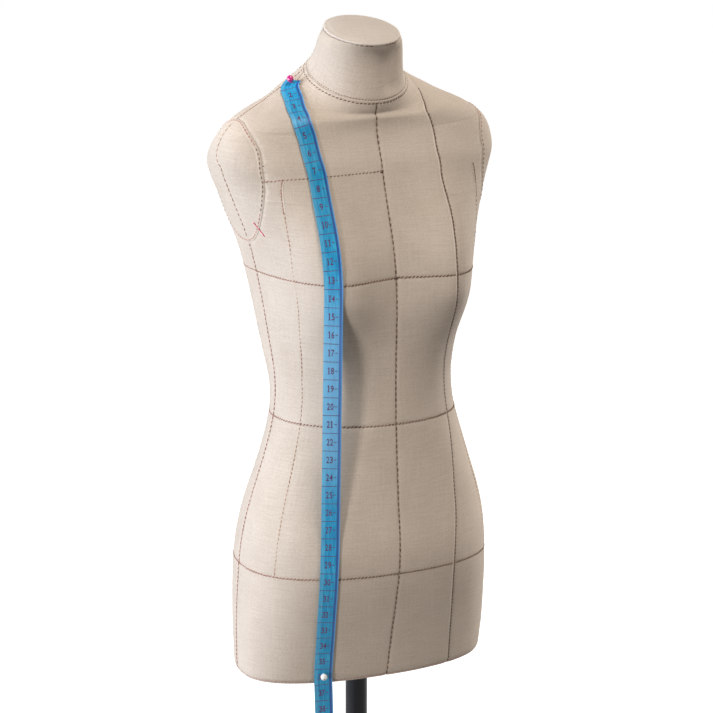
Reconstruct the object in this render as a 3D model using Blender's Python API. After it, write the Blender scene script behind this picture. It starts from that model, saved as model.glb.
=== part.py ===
# Half-scale dress form on a height-adjustable pole stand.
#
# Axes: +Z up, the form faces -Y, its own left side is +X.  The origin is on the
# table, on the pole's axis.  Lengths below are millimetres and angles degrees;
# everything is turned into metres when a mesh is made.

import math

import bmesh
import bpy
import numpy as np
from mathutils import Matrix, Vector

MM = 0.001
GAP = 0.3                      # clearance kept between neighbouring pieces

# ---- stand ----------------------------------------------------------------
PAD_H = 2.7                    # rubber ring under the plate
PAD_R_OUT, PAD_R_IN = 116.0, 104.0
PLATE_R, PLATE_T = 120.0, 6.0
PLATE_Z = PAD_H + GAP
PLATE_TOP = PLATE_Z + PLATE_T

HUB_FLANGE_R, HUB_FLANGE_T = 32.0, 4.0
HUB_BOSS_R, HUB_TOP = 15.0, 44.0
HUB_SCREW_PCR, HUB_SCREW_R, HUB_SCREW_HEAD_R = 24.0, 2.5, 4.6

TUBE_R, TUBE_WALL = 9.5, 1.5
TUBE_Z0, TUBE_Z1 = PLATE_TOP + GAP, 250.0

POLE_R, POLE_WALL = 6.35, 1.2
POLE_Z0, POLE_Z1 = 130.0, 632.0

BUSH_Z0, BUSH_LIP = 215.0, 2.0
COLLAR_R, COLLAR_Z0, COLLAR_Z1 = 16.0, 228.0, 264.0
SCREW_Z, SCREW_R = 258.0, 3.0
BOSS_R, BOSS_X = 5.5, 20.0
KNOB_X0, KNOB_X1, KNOB_R = 22.5, 34.5, 11.5

# ---- torso ----------------------------------------------------------------
HEM_Z = 350.0                  # hem above the table
LEAN_Y = -2.3                  # the torso sits this far in front of the pole
COVER_T = 1.2                  # cloth and its backing
CORE_IN = COVER_T + 1.2        # foam surface below the cloth's outer face

# One row per station round the body, from the hem to the top of the neck:
# distance up the side, height, tilt (front lower), half width, front depth,
# back depth, depth of the widest point, and the squareness of front and back.
STATIONS = np.array([
    (0.0, -1.2, 0.0, 74.0, -38.0, 52.0, -2.0, 2.25, 2.30),     # hem
    (30.0, 28.5, 0.0, 75.0, -45.0, 56.0, -4.5, 2.25, 2.30),
    (63.0, 65.0, 0.0, 73.5, -54.0, 59.0, -6.0, 2.25, 2.30),    # hip
    (105.0, 104.0, 0.0, 68.0, -53.0, 48.5, -7.5, 2.15, 2.20),
    (146.0, 151.0, 0.0, 54.0, -49.5, 39.5, -5.0, 2.10, 2.10),  # waist
    (188.0, 188.0, 0.0, 54.5, -49.0, 44.5, 4.5, 2.20, 2.20),
    (229.0, 234.5, 0.0, 62.5, -47.5, 51.5, 9.5, 2.30, 2.30),   # bust
    (263.0, 264.0, 0.0, 72.5, -40.5, 53.5, 9.5, 2.50, 2.40),
    (292.0, 289.0, 1.5, 82.5, -32.5, 51.5, 11.5, 2.70, 2.50),  # chest
    (313.0, 301.5, 4.0, 84.0, -29.5, 44.5, 9.0, 2.70, 2.50),   # arm top
    (330.0, 315.5, 8.0, 77.0, -25.0, 37.0, 1.5, 2.40, 2.30),
    (350.0, 326.4, 13.0, 57.0, -25.0, 31.0, 3.0, 2.20, 2.10),
    (369.0, 332.7, 19.0, 44.0, -24.5, 32.0, 6.0, 2.05, 2.00),
    (385.0, 341.5, 24.5, 29.0, -27.0, 29.5, 3.5, 2.00, 2.00),  # neck base
    (404.0, 357.5, 20.0, 24.5, -25.0, 19.0, -1.5, 2.00, 2.00),
    (425.0, 365.2, 14.0, 21.0, -26.5, 18.0, -7.0, 2.00, 2.00),  # neck top
])
NECK_BASE_S, NECK_TOP_S = 385.0, 425.0

# Soft swellings: distance from the centre, height, spread sideways, spread up,
# spread down, rise.
HEM_TUCK, HEM_ROUND = 1.8, 4.5      # the cover rounds in by this much over this height
BUST = (41.5, 226.0, 26.5, 48.0, 27.5, 17.0)
BLADE = (36.0, 283.0, 26.0, 30.0, 35.0, 3.5)
SEAT = (33.0, 63.0, 29.0, 36.0, 32.0, 4.5)

# Seams, as an angle round the body at distances up the side, for the form's
# left half: 0 is the side, -90 the centre front, +90 the centre back.
SIDE_SEAM = ((0, 11), (63, 10), (105, 7.5), (146, 5), (188, -5), (229, -7),
             (263, -10.5), (300, -14.5), (313, -5), (330, 6), (350, 13),
             (369, 14), (385, 23))
FRONT_SEAM = ((0, -57), (63, -60.5), (105, -56), (146, -46.5), (188, -51.5),
              (229, -58), (263, -61.5), (292, -66), (313, -66.5), (330, -64),
              (350, -56), (369, -39), (378, -12), (385, 18))
# The front seam on the right runs a little further out, below the tape.
FRONT_SEAM_RIGHT = ((0, -59.5), (63, -57.5), (105, -56), (146, -51), (188, -51), (222, -50.7),
                    (251, -55.5), (271, -60), (292, -62.8), (313, -62.3), (325, -60),
                    (337, -54), (354, -38.5), (369, -21), (374, -5), (378, 6), (385, 18))
BACK_SEAM = ((0, 58), (63, 61), (105, 58), (146, 50), (188, 54), (229, 58),
             (263, 61), (292, 64), (313, 65), (330, 63), (350, 58), (369, 49),
             (378, 38), (385, 28))

# Armhole: an oval seen from the side (centre y, centre z, half width, half
# height, squareness).
ARMHOLE = (4.5, 286.0, 25.5, 33.5, 2.1)

CAP_T, CAP_DOME, CAP_RIM = 0.9, 1.8, 0.3
NECK_BOARD_T, NECK_BOARD_INSET = 5.0, 5.0
BOARD_T, BOARD_INSET = 8.0, 14.0
SOCKET_R_IN, SOCKET_R_OUT = 6.75, 8.0
SOCKET_Z1 = 638.3
FLANGE_R, FLANGE_T = 28.0, 2.5
FLANGE_SCREW_PCR, FLANGE_SCREW_R, FLANGE_SCREW_HEAD_R = 20.0, 1.75, 3.6

# ---- tape measure and pins --------------------------------------------------
TAPE_W, TAPE_T, TAPE_L = 10.5, 0.45, 600.0
TAPE_LIFT = 0.7                # under face above the cloth
# where it lies on the body: angle round the body and distance up the side
TAPE_UPPER = ((-188.5, 377.5), (-179.0, 374.0), (-159.0, 369.0), (-141.5, 354.5),
              (-126.0, 337.0), (-119.6, 324.5), (-117.2, 310.0), (-117.2, 292.0),
              (-120.0, 271.5), (-123.4, 254.0), (-126.7, 238.0), (-129.0, 226.0))
TAPE_LOWER = ((-123.2, 84.0), (-122.9, 67.7), (-122.5, 57.5), (-121.8, 43.0),
              (-121.1, 28.8), (-120.8, 10.0), (-120.7, 5.0))
PIN_R, PIN_L, PIN_HEAD_R = 0.35, 24.0, 1.9


# ---------------------------------------------------------------------------
# curves through tables
# ---------------------------------------------------------------------------
def natural_spline(knots, values):
    """Cubic spline through a table, with no bend at either end."""
    knots = np.asarray(knots, float)
    values = np.asarray(values, float).reshape(len(knots), -1)
    n, h = len(knots), np.diff(knots)
    a, r = np.zeros((n, n)), np.zeros_like(values)
    a[0, 0] = a[-1, -1] = 1.0
    for i in range(1, n - 1):
        a[i, i - 1], a[i, i], a[i, i + 1] = h[i - 1], 2 * (h[i - 1] + h[i]), h[i]
        r[i] = 6 * ((values[i + 1] - values[i]) / h[i] - (values[i] - values[i - 1]) / h[i - 1])
    m = np.linalg.solve(a, r)

    def at(s):
        k = int(min(max(np.searchsorted(knots, s) - 1, 0), n - 2))
        t, hh = s - knots[k], h[k]
        slope = (values[k + 1] - values[k]) / hh - hh * (2 * m[k] + m[k + 1]) / 6
        return values[k] + t * slope + t * t * m[k] / 2 + t ** 3 * (m[k + 1] - m[k]) / (6 * hh)

    return at


def steady_curve(table):
    """Cubic curve through a table that never overshoots its values."""
    x = np.array([p[0] for p in table], float)
    y = np.array([p[1] for p in table], float)
    d = np.diff(y) / np.diff(x)
    m = np.zeros(len(x))
    m[0], m[-1] = d[0], d[-1]
    for i in range(1, len(x) - 1):
        m[i] = 0.0 if d[i - 1] * d[i] <= 0 else 2 * d[i - 1] * d[i] / (d[i - 1] + d[i])

    def at(s):
        k = int(min(max(np.searchsorted(x, s) - 1, 0), len(x) - 2))
        h = x[k + 1] - x[k]
        t = min(max((s - x[k]) / h, 0.0), 1.0)
        return ((2 * t ** 3 - 3 * t ** 2 + 1) * y[k] + (t ** 3 - 2 * t ** 2 + t) * h * m[k]
                + (3 * t ** 2 - 2 * t ** 3) * y[k + 1] + (t ** 3 - t ** 2) * h * m[k + 1])

    return at


station = natural_spline(STATIONS[:, 0], STATIONS[:, 1:])
side_seam, front_seam, front_seam_right, back_seam = (
    steady_curve(t) for t in (SIDE_SEAM, FRONT_SEAM, FRONT_SEAM_RIGHT, BACK_SEAM))


# ---------------------------------------------------------------------------
# the body's surface
# ---------------------------------------------------------------------------
def swelling(shape, x, z):
    x0, z0, sx, up, down, rise = shape
    dz = z - z0
    return rise * math.exp(-((abs(x) - x0) / sx) ** 2 - (dz / (up if dz > 0 else down)) ** 2)


def ease(t):
    t = min(max(t, 0.0), 1.0)
    return t * t * (3 - 2 * t)


def body(phi, s):
    """Point on the cloth's outer face: phi degrees round, s up the side."""
    z, tilt, a, yf, yb, yc, nf, nb = station(s)
    c, sn = math.cos(math.radians(phi)), math.sin(math.radians(phi))
    tuck = HEM_TUCK * max(0.0, 1 - s / HEM_ROUND) ** 2
    a -= tuck
    n, b = (nf, yc - yf - tuck) if sn < 0 else (nb, yb - yc - tuck)
    r = (abs(c) ** n + abs(sn) ** n) ** (-1 / n)
    x, y = a * r * c, b * r * sn
    t = math.radians(tilt)
    py, pz = yc + y * math.cos(t), z + y * math.sin(t)
    py -= ease(-sn * 1.6) * swelling(BUST, x, pz)
    py += ease(sn * 1.6) * (swelling(BLADE, x, pz) + swelling(SEAT, x, pz))
    return Vector((x, py + LEAN_Y, pz + HEM_Z))


def body_normal(phi, s):
    around = body(phi + 0.2, s) - body(phi - 0.2, s)
    s0, s1 = max(s - 0.5, 0.0), min(s + 0.5, NECK_TOP_S)
    return around.cross(body(phi, s1) - body(phi, s0)).normalized()


def inside(phi, s, depth):
    """Point a given depth below the cloth's outer face."""
    return body(phi, s) - body_normal(phi, s) * depth


def turn_per_mm(phi, s):
    return 0.2 / (body(phi + 0.1, s) - body(phi - 0.1, s)).length


# ---------------------------------------------------------------------------
# mesh helpers
# ---------------------------------------------------------------------------
for old in list(bpy.data.objects):
    bpy.data.objects.remove(old, do_unlink=True)
scene = bpy.context.scene


def material(name, colour, roughness, metallic=0.0):
    m = bpy.data.materials.new(name)
    m.use_nodes = True
    b = m.node_tree.nodes["Principled BSDF"]
    b.inputs["Base Color"].default_value = (*colour, 1.0)
    b.inputs["Roughness"].default_value = roughness
    b.inputs["Metallic"].default_value = metallic
    return m


CLOTH = material("cloth", (0.60, 0.50, 0.43), 0.9)
CAP_CLOTH = material("cap_cloth", (0.58, 0.49, 0.42), 0.9)
FOAM = material("foam", (0.78, 0.74, 0.62), 0.95)
WOOD = material("plywood", (0.62, 0.44, 0.26), 0.7)
BLACK = material("black_paint", (0.012, 0.012, 0.014), 0.45, 0.3)
STEEL = material("steel", (0.55, 0.55, 0.56), 0.35, 1.0)
NYLON = material("nylon", (0.03, 0.03, 0.032), 0.5)
RUBBER = material("rubber", (0.02, 0.02, 0.02), 0.85)
TAPE = material("tape", (0.05, 0.28, 0.46), 0.5)
PINK = material("pink_bead", (0.80, 0.22, 0.32), 0.2)
WHITE = material("white_bead", (0.85, 0.84, 0.80), 0.2)


def put(name, bm, mat, parent=None, smooth=True, angle=35.0):
    """Turn a bmesh made in millimetres into a named object in metres."""
    bmesh.ops.scale(bm, vec=(MM, MM, MM), verts=bm.verts)
    bmesh.ops.recalc_face_normals(bm, faces=bm.faces)
    me = bpy.data.meshes.new(name)
    bm.to_mesh(me)
    bm.free()
    me.materials.append(mat)
    if smooth:
        me.shade_smooth()
        me.set_sharp_from_angle(angle=math.radians(angle))
    ob = bpy.data.objects.new(name, me)
    scene.collection.objects.link(ob)
    ob.parent = parent
    return ob


def axis_empty(name, at, parent=None):
    e = bpy.data.objects.new(name, None)
    e.empty_display_size = 0.02
    scene.collection.objects.link(e)
    e.parent = parent
    e.location = Vector(at) * MM
    return e


def turned(profile, segments, closed=False, bm=None, at=(0, 0, 0), axis="Z"):
    """Spin a profile of (radius, height); radius 0 ends are closed on the axis."""
    bm = bm or bmesh.new()
    rings = []
    for r, z in profile:
        if r < 1e-6:
            rings.append([bm.verts.new(_along(axis, 0, 0, z, at))])
        else:
            rings.append([bm.verts.new(_along(axis, r * math.cos(2 * math.pi * i / segments),
                                              r * math.sin(2 * math.pi * i / segments), z, at))
                          for i in range(segments)])
    pairs = list(zip(rings, rings[1:]))
    if closed:
        pairs.append((rings[-1], rings[0]))
    for a, b in pairs:
        for i in range(segments):
            j = (i + 1) % segments
            loop = [a[i % len(a)], a[j % len(a)], b[j % len(b)], b[i % len(b)]]
            keep = []
            for v in loop:
                if v not in keep:
                    keep.append(v)
            if len(keep) > 2:
                bm.faces.new(keep)
    return bm


def _along(axis, u, v, w, at):
    x, y, z = at
    return (x + w, y + u, z + v) if axis == "X" else (x + u, y + v, z + w)


def cutter(name, bm):
    ob = put(name, bm, BLACK, smooth=False)
    ob.hide_render = True
    ob.display_type = "WIRE"
    return ob


def boolean(ob, tool, operation="DIFFERENCE"):
    m = ob.modifiers.new(tool.name, "BOOLEAN")
    m.object = tool
    m.operation = operation
    m.solver = "EXACT"


def rod(r, z0, z1, segments=16, at=(0, 0), bm=None):
    return turned([(0, z0), (r, z0), (r, z1), (0, z1)], segments, bm=bm, at=(at[0], at[1], 0))


def ring_of(radius, count, first=45.0):
    return [(radius * math.cos(math.radians(first + 360 * k / count)),
             radius * math.sin(math.radians(first + 360 * k / count))) for k in range(count)]


def loft(rings, cap=True):
    """Join rings of equal length; flat faces close the two ends."""
    bm = bmesh.new()
    loops = [[bm.verts.new(p) for p in ring] for ring in rings]
    for a, b in zip(loops, loops[1:]):
        n = len(a)
        for i in range(n):
            bm.faces.new((a[i], a[(i + 1) % n], b[(i + 1) % n], b[i]))
    if cap:
        bm.faces.new(loops[0])
        bm.faces.new(loops[-1])
    return bm


# ---------------------------------------------------------------------------
# bodies: the stand, the pole that slides in it, the torso that swivels on it
# ---------------------------------------------------------------------------
stand = axis_empty("stand_axis", (0, 0, 0))
pole_axis = axis_empty("pole_axis", (0, 0, 0), stand)
torso_axis = axis_empty("torso_axis", (0, 0, 0), pole_axis)
knob_axis = axis_empty("knob_axis", (0, 0, SCREW_Z), stand)

# ---- stand ------------------------------------------------------------------
put("base_pad", turned([(PAD_R_IN, 0), (PAD_R_OUT, 0), (PAD_R_OUT, PAD_H), (PAD_R_IN, PAD_H)],
                       48, closed=True), RUBBER, stand)

plate = put("base_plate", turned([(0, PLATE_Z), (PLATE_R - 1, PLATE_Z), (PLATE_R, PLATE_Z + 1),
                                  (PLATE_R, PLATE_TOP - 1.6), (PLATE_R - 0.5, PLATE_TOP - 0.5),
                                  (PLATE_R - 1.6, PLATE_TOP), (0, PLATE_TOP)], 56), BLACK, stand)

hub_z = PLATE_TOP + GAP
hub = put("base_hub", turned([(TUBE_R + GAP, hub_z), (HUB_FLANGE_R - 0.6, hub_z),
                              (HUB_FLANGE_R, hub_z + 0.6),
                              (HUB_FLANGE_R, hub_z + HUB_FLANGE_T - 1),
                              (HUB_FLANGE_R - 1, hub_z + HUB_FLANGE_T),
                              (HUB_BOSS_R + 3, hub_z + HUB_FLANGE_T),
                              (HUB_BOSS_R + 0.9, hub_z + HUB_FLANGE_T + 0.9),
                              (HUB_BOSS_R, hub_z + HUB_FLANGE_T + 3),
                              (HUB_BOSS_R - 1.4, HUB_TOP - 1.5), (HUB_BOSS_R - 2.6, HUB_TOP),
                              (TUBE_R + GAP, HUB_TOP)], 28, closed=True), BLACK, stand)

holes = bmesh.new()
for xy in ring_of(HUB_SCREW_PCR, 4):
    rod(HUB_SCREW_R + GAP, -5, 30, 12, xy, holes)
hub_holes = cutter("cut_hub_holes", holes)
boolean(plate, hub_holes)
boolean(hub, hub_holes)

head_z = hub_z + HUB_FLANGE_T + GAP
for k, (x, y) in enumerate(ring_of(HUB_SCREW_PCR, 4)):
    put("hub_screw_%d" % (k + 1),
        turned([(0, PLATE_Z + 0.5), (HUB_SCREW_R - 0.4, PLATE_Z + 0.5),
                (HUB_SCREW_R, PLATE_Z + 1.0), (HUB_SCREW_R, head_z), (HUB_SCREW_HEAD_R, head_z),
                (HUB_SCREW_HEAD_R, head_z + 0.9), (HUB_SCREW_HEAD_R * 0.8, head_z + 2.0),
                (HUB_SCREW_HEAD_R * 0.5, head_z + 2.5), (0, head_z + 2.5)], 12, at=(x, y, 0)),
        STEEL, stand)

put("lower_tube", turned([(TUBE_R - TUBE_WALL, TUBE_Z0), (TUBE_R, TUBE_Z0), (TUBE_R, TUBE_Z1),
                          (TUBE_R - TUBE_WALL, TUBE_Z1)], 28, closed=True), BLACK, stand)

bush_in = POLE_R + 0.35
put("tube_bush", turned([(bush_in, BUSH_Z0), (TUBE_R - TUBE_WALL - GAP, BUSH_Z0),
                         (TUBE_R - TUBE_WALL - GAP, TUBE_Z1 + GAP), (TUBE_R, TUBE_Z1 + GAP),
                         (TUBE_R, TUBE_Z1 + GAP + BUSH_LIP), (bush_in, TUBE_Z1 + GAP + BUSH_LIP)],
                        28, closed=True), NYLON, stand)

step_z = TUBE_Z1 + BUSH_LIP + 2 * GAP
collar = put("clamp_collar", turned([(TUBE_R + GAP, COLLAR_Z0), (COLLAR_R - 1, COLLAR_Z0),
                                     (COLLAR_R, COLLAR_Z0 + 1), (COLLAR_R, COLLAR_Z1 - 1.5),
                                     (COLLAR_R - 1.5, COLLAR_Z1), (bush_in, COLLAR_Z1),
                                     (bush_in, step_z), (TUBE_R + GAP, step_z)],
                                    28, closed=True), BLACK, stand)
boss = cutter("join_collar_boss", turned([(0, 11), (BOSS_R, 11), (BOSS_R, BOSS_X - 0.8),
                                          (BOSS_R - 0.8, BOSS_X), (0, BOSS_X)], 16,
                                         at=(0, 0, SCREW_Z), axis="X"))
boolean(collar, boss, "UNION")
thread = cutter("cut_collar_thread", turned([(0, 2), (SCREW_R + GAP, 2), (SCREW_R + GAP, 24),
                                             (0, 24)], 12, at=(0, 0, SCREW_Z), axis="X"))
boolean(collar, thread)

tip = POLE_R + 0.5
put("clamp_screw", turned([(0, tip), (SCREW_R - 0.6, tip), (SCREW_R, tip + 0.6),
                           (SCREW_R, KNOB_X1 - 3.5), (0, KNOB_X1 - 3.5)], 16, axis="X"),
    STEEL, knob_axis)


def knob_ring(scale, x, bite=1.0):
    pts = []
    for i in range(30):
        t = 2 * math.pi * i / 30
        r = KNOB_R * scale * (1.0 + 0.085 * bite * math.cos(6 * t))
        pts.append(Vector((x, r * math.cos(t), r * math.sin(t))))
    return pts


knob = put("clamp_knob", loft([knob_ring(0.52, KNOB_X0, 0.0), knob_ring(0.56, KNOB_X0 + 2.6, 0.0),
                               knob_ring(0.88, KNOB_X0 + 3.4), knob_ring(0.95, KNOB_X0 + 4.6),
                               knob_ring(0.95, KNOB_X1 - 2.2), knob_ring(0.86, KNOB_X1 - 0.7),
                               knob_ring(0.66, KNOB_X1, 0.6)]), NYLON, knob_axis)
knob_bore = cutter("cut_knob_bore", turned([(0, KNOB_X0 - 4), (SCREW_R + GAP, KNOB_X0 - 4),
                                            (SCREW_R + GAP, KNOB_X1 - 3.2), (0, KNOB_X1 - 3.2)],
                                           16, at=(0, 0, SCREW_Z), axis="X"))
boolean(knob, knob_bore)

# ---- sliding pole -------------------------------------------------------------
put("upper_pole", turned([(POLE_R - POLE_WALL, POLE_Z0), (POLE_R, POLE_Z0), (POLE_R, POLE_Z1),
                          (POLE_R - POLE_WALL, POLE_Z1)], 24, closed=True), BLACK, pole_axis)
spigot = POLE_R - POLE_WALL - GAP
put("pole_bottom_plug", turned([(0, POLE_Z0 - 8), (6.7, POLE_Z0 - 8), (7.6, POLE_Z0 - 7),
                                (7.6, POLE_Z0 - GAP), (spigot, POLE_Z0 - GAP),
                                (spigot, POLE_Z0 + 12), (0, POLE_Z0 + 12)], 24), NYLON, pole_axis)
put("pole_thrust_plug", turned([(0, POLE_Z1 - 14), (spigot, POLE_Z1 - 14),
                                (spigot, POLE_Z1 + GAP), (POLE_R, POLE_Z1 + GAP),
                                (POLE_R, POLE_Z1 + 3.4), (POLE_R - 2.2, POLE_Z1 + 5.4),
                                (0, POLE_Z1 + 6.0)], 24), NYLON, pole_axis)

# ---- pole socket in the torso --------------------------------------------------
flange_z = HEM_Z - FLANGE_T - 0.1
put("socket_tube", turned([(SOCKET_R_IN, flange_z), (SOCKET_R_OUT, flange_z),
                           (SOCKET_R_OUT, SOCKET_Z1), (SOCKET_R_IN, SOCKET_Z1)], 24, closed=True),
    STEEL, torso_axis)
put("socket_cap", turned([(0, SOCKET_Z1 + GAP), (SOCKET_R_OUT, SOCKET_Z1 + GAP),
                          (SOCKET_R_OUT, SOCKET_Z1 + 3), (0, SOCKET_Z1 + 3.6)], 24),
    STEEL, torso_axis)
flange = put("socket_flange", turned([(SOCKET_R_OUT + GAP, flange_z), (FLANGE_R - 0.8, flange_z),
                                      (FLANGE_R, flange_z + 0.8), (FLANGE_R, flange_z + FLANGE_T),
                                      (SOCKET_R_OUT + GAP, flange_z + FLANGE_T)], 28, closed=True),
             BLACK, torso_axis)
holes = bmesh.new()
for xy in ring_of(FLANGE_SCREW_PCR, 4, 0.0):
    rod(FLANGE_SCREW_R + GAP, HEM_Z - 10, HEM_Z + 12, 10, xy, holes)
flange_holes = cutter("cut_flange_holes", holes)
boolean(flange, flange_holes)
for k, (x, y) in enumerate(ring_of(FLANGE_SCREW_PCR, 4, 0.0)):
    z = flange_z - GAP
    put("flange_screw_%d" % (k + 1),
        turned([(0, z - 1.7), (2.0, z - 1.7), (FLANGE_SCREW_HEAD_R - 0.4, z - 1.1),
                (FLANGE_SCREW_HEAD_R, z), (FLANGE_SCREW_R, z), (FLANGE_SCREW_R, z + 8.5),
                (0, z + 11)], 10, at=(x, y, 0)), STEEL, torso_axis)


def hem_outline(depth, z, count=32):
    ring = []
    for i in range(count):
        p = inside(360 * i / count - 180, 2.2, depth)
        ring.append(Vector((p.x, p.y, z)))
    return ring


bore = cutter("cut_socket_bore", rod(SOCKET_R_OUT + 0.4, HEM_Z - 10, SOCKET_Z1 + 4.0, 24))
under = put("bottom_cover", loft([hem_outline(COVER_T + 2.2, HEM_Z + 0.3),
                                  hem_outline(COVER_T + 2.2, HEM_Z + 1.3)]), CLOTH, torso_axis)
board = put("bottom_board", loft([hem_outline(BOARD_INSET, HEM_Z + 1.6),
                                  hem_outline(BOARD_INSET, HEM_Z + 1.6 + BOARD_T)]),
            WOOD, torso_axis)
for ob in (under, board):
    boolean(ob, bore)
    boolean(ob, flange_holes)

# ---- foam core ------------------------------------------------------------------
ROWS = (1.7, 20, 42, 63, 90, 118, 146, 174, 202, 222, 240, 263, 278, 292, 308, 322, 336, 350,
        361, 371, 378, 384)
FRONT_COLS, SIDE_COLS = 3, 4


def seam_angles(s):
    """Angles of the eight seams, going round from the centre back on the right."""
    f, fr, c, b = front_seam(s), front_seam_right(s), side_seam(s), back_seam(s)
    return (-270.0, -180 - b, -180 - c, -180 - fr, -90.0, f, c, b, 90.0)


COLS = (FRONT_COLS, SIDE_COLS, SIDE_COLS, FRONT_COLS, FRONT_COLS, SIDE_COLS, SIDE_COLS, FRONT_COLS)


def round_angles(s):
    a = seam_angles(s)
    out = []
    for k, n in enumerate(COLS):
        out += [a[k] + (a[k + 1] - a[k]) * i / n for i in range(n)]
    return out


core_rings = [[inside(p, s, CORE_IN) for p in round_angles(s)] for s in ROWS]
core_rings[0] = [Vector((p.x, p.y, HEM_Z + 1.6)) for p in core_rings[0]]
for s in (391.0, 397.0, 403.0):
    core_rings.append([inside(p, s, CORE_IN) for p in round_angles(384.0)])
core = put("foam_core", loft(core_rings), FOAM, torso_axis)
pocket = cutter("cut_board_pocket", loft([hem_outline(BOARD_INSET - GAP, HEM_Z - 5),
                                          hem_outline(BOARD_INSET - GAP, HEM_Z + 1.9 + BOARD_T)]))
boolean(core, pocket)
boolean(core, bore)

# ---- cloth cover: eight panels, two arm plates, neck and cap -----------------------
PANELS = ("cover_back_right", "cover_side_back_right", "cover_side_front_right",
          "cover_front_right", "cover_front_left", "cover_side_front_left",
          "cover_side_back_left", "cover_back_left")
PANEL_ROWS = (0.0, 2.0, 4.5) + ROWS[1:]


def sheet(rows, angles_at):
    """A solid cloth sheet whose outer face lies on the body."""
    bm = bmesh.new()
    outer = [[bm.verts.new(body(p, s)) for p in angles_at(s)] for s in rows]
    inner = [[bm.verts.new(inside(p, s, COVER_T)) for p in angles_at(s)] for s in rows]
    for grid in (outer, inner):
        for a, b in zip(grid, grid[1:]):
            for i in range(len(a) - 1):
                bm.faces.new((a[i], a[i + 1], b[i + 1], b[i]))
    for a, b in ((outer[0], inner[0]), (outer[-1], inner[-1]),
                 ([r[0] for r in outer], [r[0] for r in inner]),
                 ([r[-1] for r in outer], [r[-1] for r in inner])):
        for i in range(len(a) - 1):
            bm.faces.new((a[i], a[i + 1], b[i + 1], b[i]))
    return bm


cover = {}
for k, name in enumerate(PANELS):
    def angles(s, k=k):
        a = seam_angles(s)
        apart = GAP * (1.0 + 1.6 * ease((s - 345) / 35))     # wider where the neck hollows
        lo = a[k] + apart * turn_per_mm(a[k], s)
        hi = a[k + 1] - apart * turn_per_mm(a[k + 1], s)
        return [lo + (hi - lo) * i / COLS[k] for i in range(COLS[k] + 1)]
    cover[name] = put(name, sheet(PANEL_ROWS, angles), CLOTH, torso_axis)


def armhole_prism(side, shrink):
    cy, cz, w, h, n = ARMHOLE
    rings = []
    for x in (45.0 * side, 100.0 * side):
        ring = []
        for i in range(36):
            t = 2 * math.pi * i / 36
            r = (abs(math.cos(t)) ** n + abs(math.sin(t)) ** n) ** (-1 / n)
            ring.append(Vector((x, cy + LEAN_Y + (w - shrink) * r * math.cos(t),
                                cz + HEM_Z + (h - shrink) * r * math.sin(t))))
        rings.append(ring)
    return loft(rings)


ARM_ROWS = (222, 240, 263, 278, 292, 308, 322, 336, 350)
for word, side in (("left", 1), ("right", -1)):
    hole = cutter("cut_armhole_" + word, armhole_prism(side, 0.0))
    for part in ("side_front", "side_back"):
        boolean(cover["cover_%s_%s" % (part, word)], hole)

    def arm_angles(s, side=side):
        f, c, b = front_seam(s), side_seam(s), back_seam(s)
        a = ([f + (c - f) * i / SIDE_COLS for i in range(SIDE_COLS)]
             + [c + (b - c) * i / SIDE_COLS for i in range(SIDE_COLS + 1)])
        return a if side > 0 else [-180 - p for p in a]

    cover["arm_plate_" + word] = put("arm_plate_" + word, sheet(ARM_ROWS, arm_angles), CLOTH,
                                     torso_axis)
    boolean(cover["arm_plate_" + word],
            cutter("keep_arm_plate_" + word, armhole_prism(side, 0.35)), "INTERSECT")

neck_rings = [[body(p, s) for p in range(-180, 180, 15)] for s in (386, 393, 402, 413, 425)]
neck_in = [[inside(p, s, COVER_T) for p in range(-180, 180, 15)] for s in (386, 393, 402, 413, 422)]
bm = bmesh.new()
loops = [[bm.verts.new(p) for p in ring] for ring in neck_rings + neck_in[::-1]]
for a, b in zip(loops, loops[1:] + loops[:1]):
    for i in range(24):
        bm.faces.new((a[i], a[(i + 1) % 24], b[(i + 1) % 24], b[i]))
put("neck_cover", bm, CLOTH, torso_axis)

z, tilt, a_top, yf, yb, yc, _, _ = station(NECK_TOP_S)
t = math.radians(tilt)
cap_centre = Vector((0, yc + LEAN_Y + 0.5 * (yf + yb - 2 * yc) * math.cos(t),
                     HEM_Z + z + 0.5 * (yf + yb - 2 * yc) * math.sin(t)))
cap_x, cap_y, cap_up = a_top, 0.5 * (yb - yf), Vector((0, -math.sin(t), math.cos(t)))
cap_ey = Vector((0, math.cos(t), math.sin(t)))


def cap_ring(inset, up, count=24):
    return [cap_centre + Vector(((cap_x - inset) * math.cos(2 * math.pi * i / count), 0, 0))
            + cap_ey * (cap_y - inset) * math.sin(2 * math.pi * i / count) + cap_up * up
            for i in range(count)]


cap_rings = [cap_ring(0.6, 0.5), cap_ring(-CAP_RIM, 0.9), cap_ring(-CAP_RIM, 0.5 + CAP_T * 0.7),
             cap_ring(0.8, 0.5 + CAP_T), cap_ring(6, 0.5 + CAP_T + CAP_DOME * 0.55),
             cap_ring(13, 0.5 + CAP_T + CAP_DOME * 0.95)]
put("neck_cap", loft(cap_rings), CAP_CLOTH, torso_axis)
put("neck_board", loft([cap_ring(NECK_BOARD_INSET, -NECK_BOARD_T), cap_ring(NECK_BOARD_INSET, 0.0)]), WOOD, torso_axis)

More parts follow.
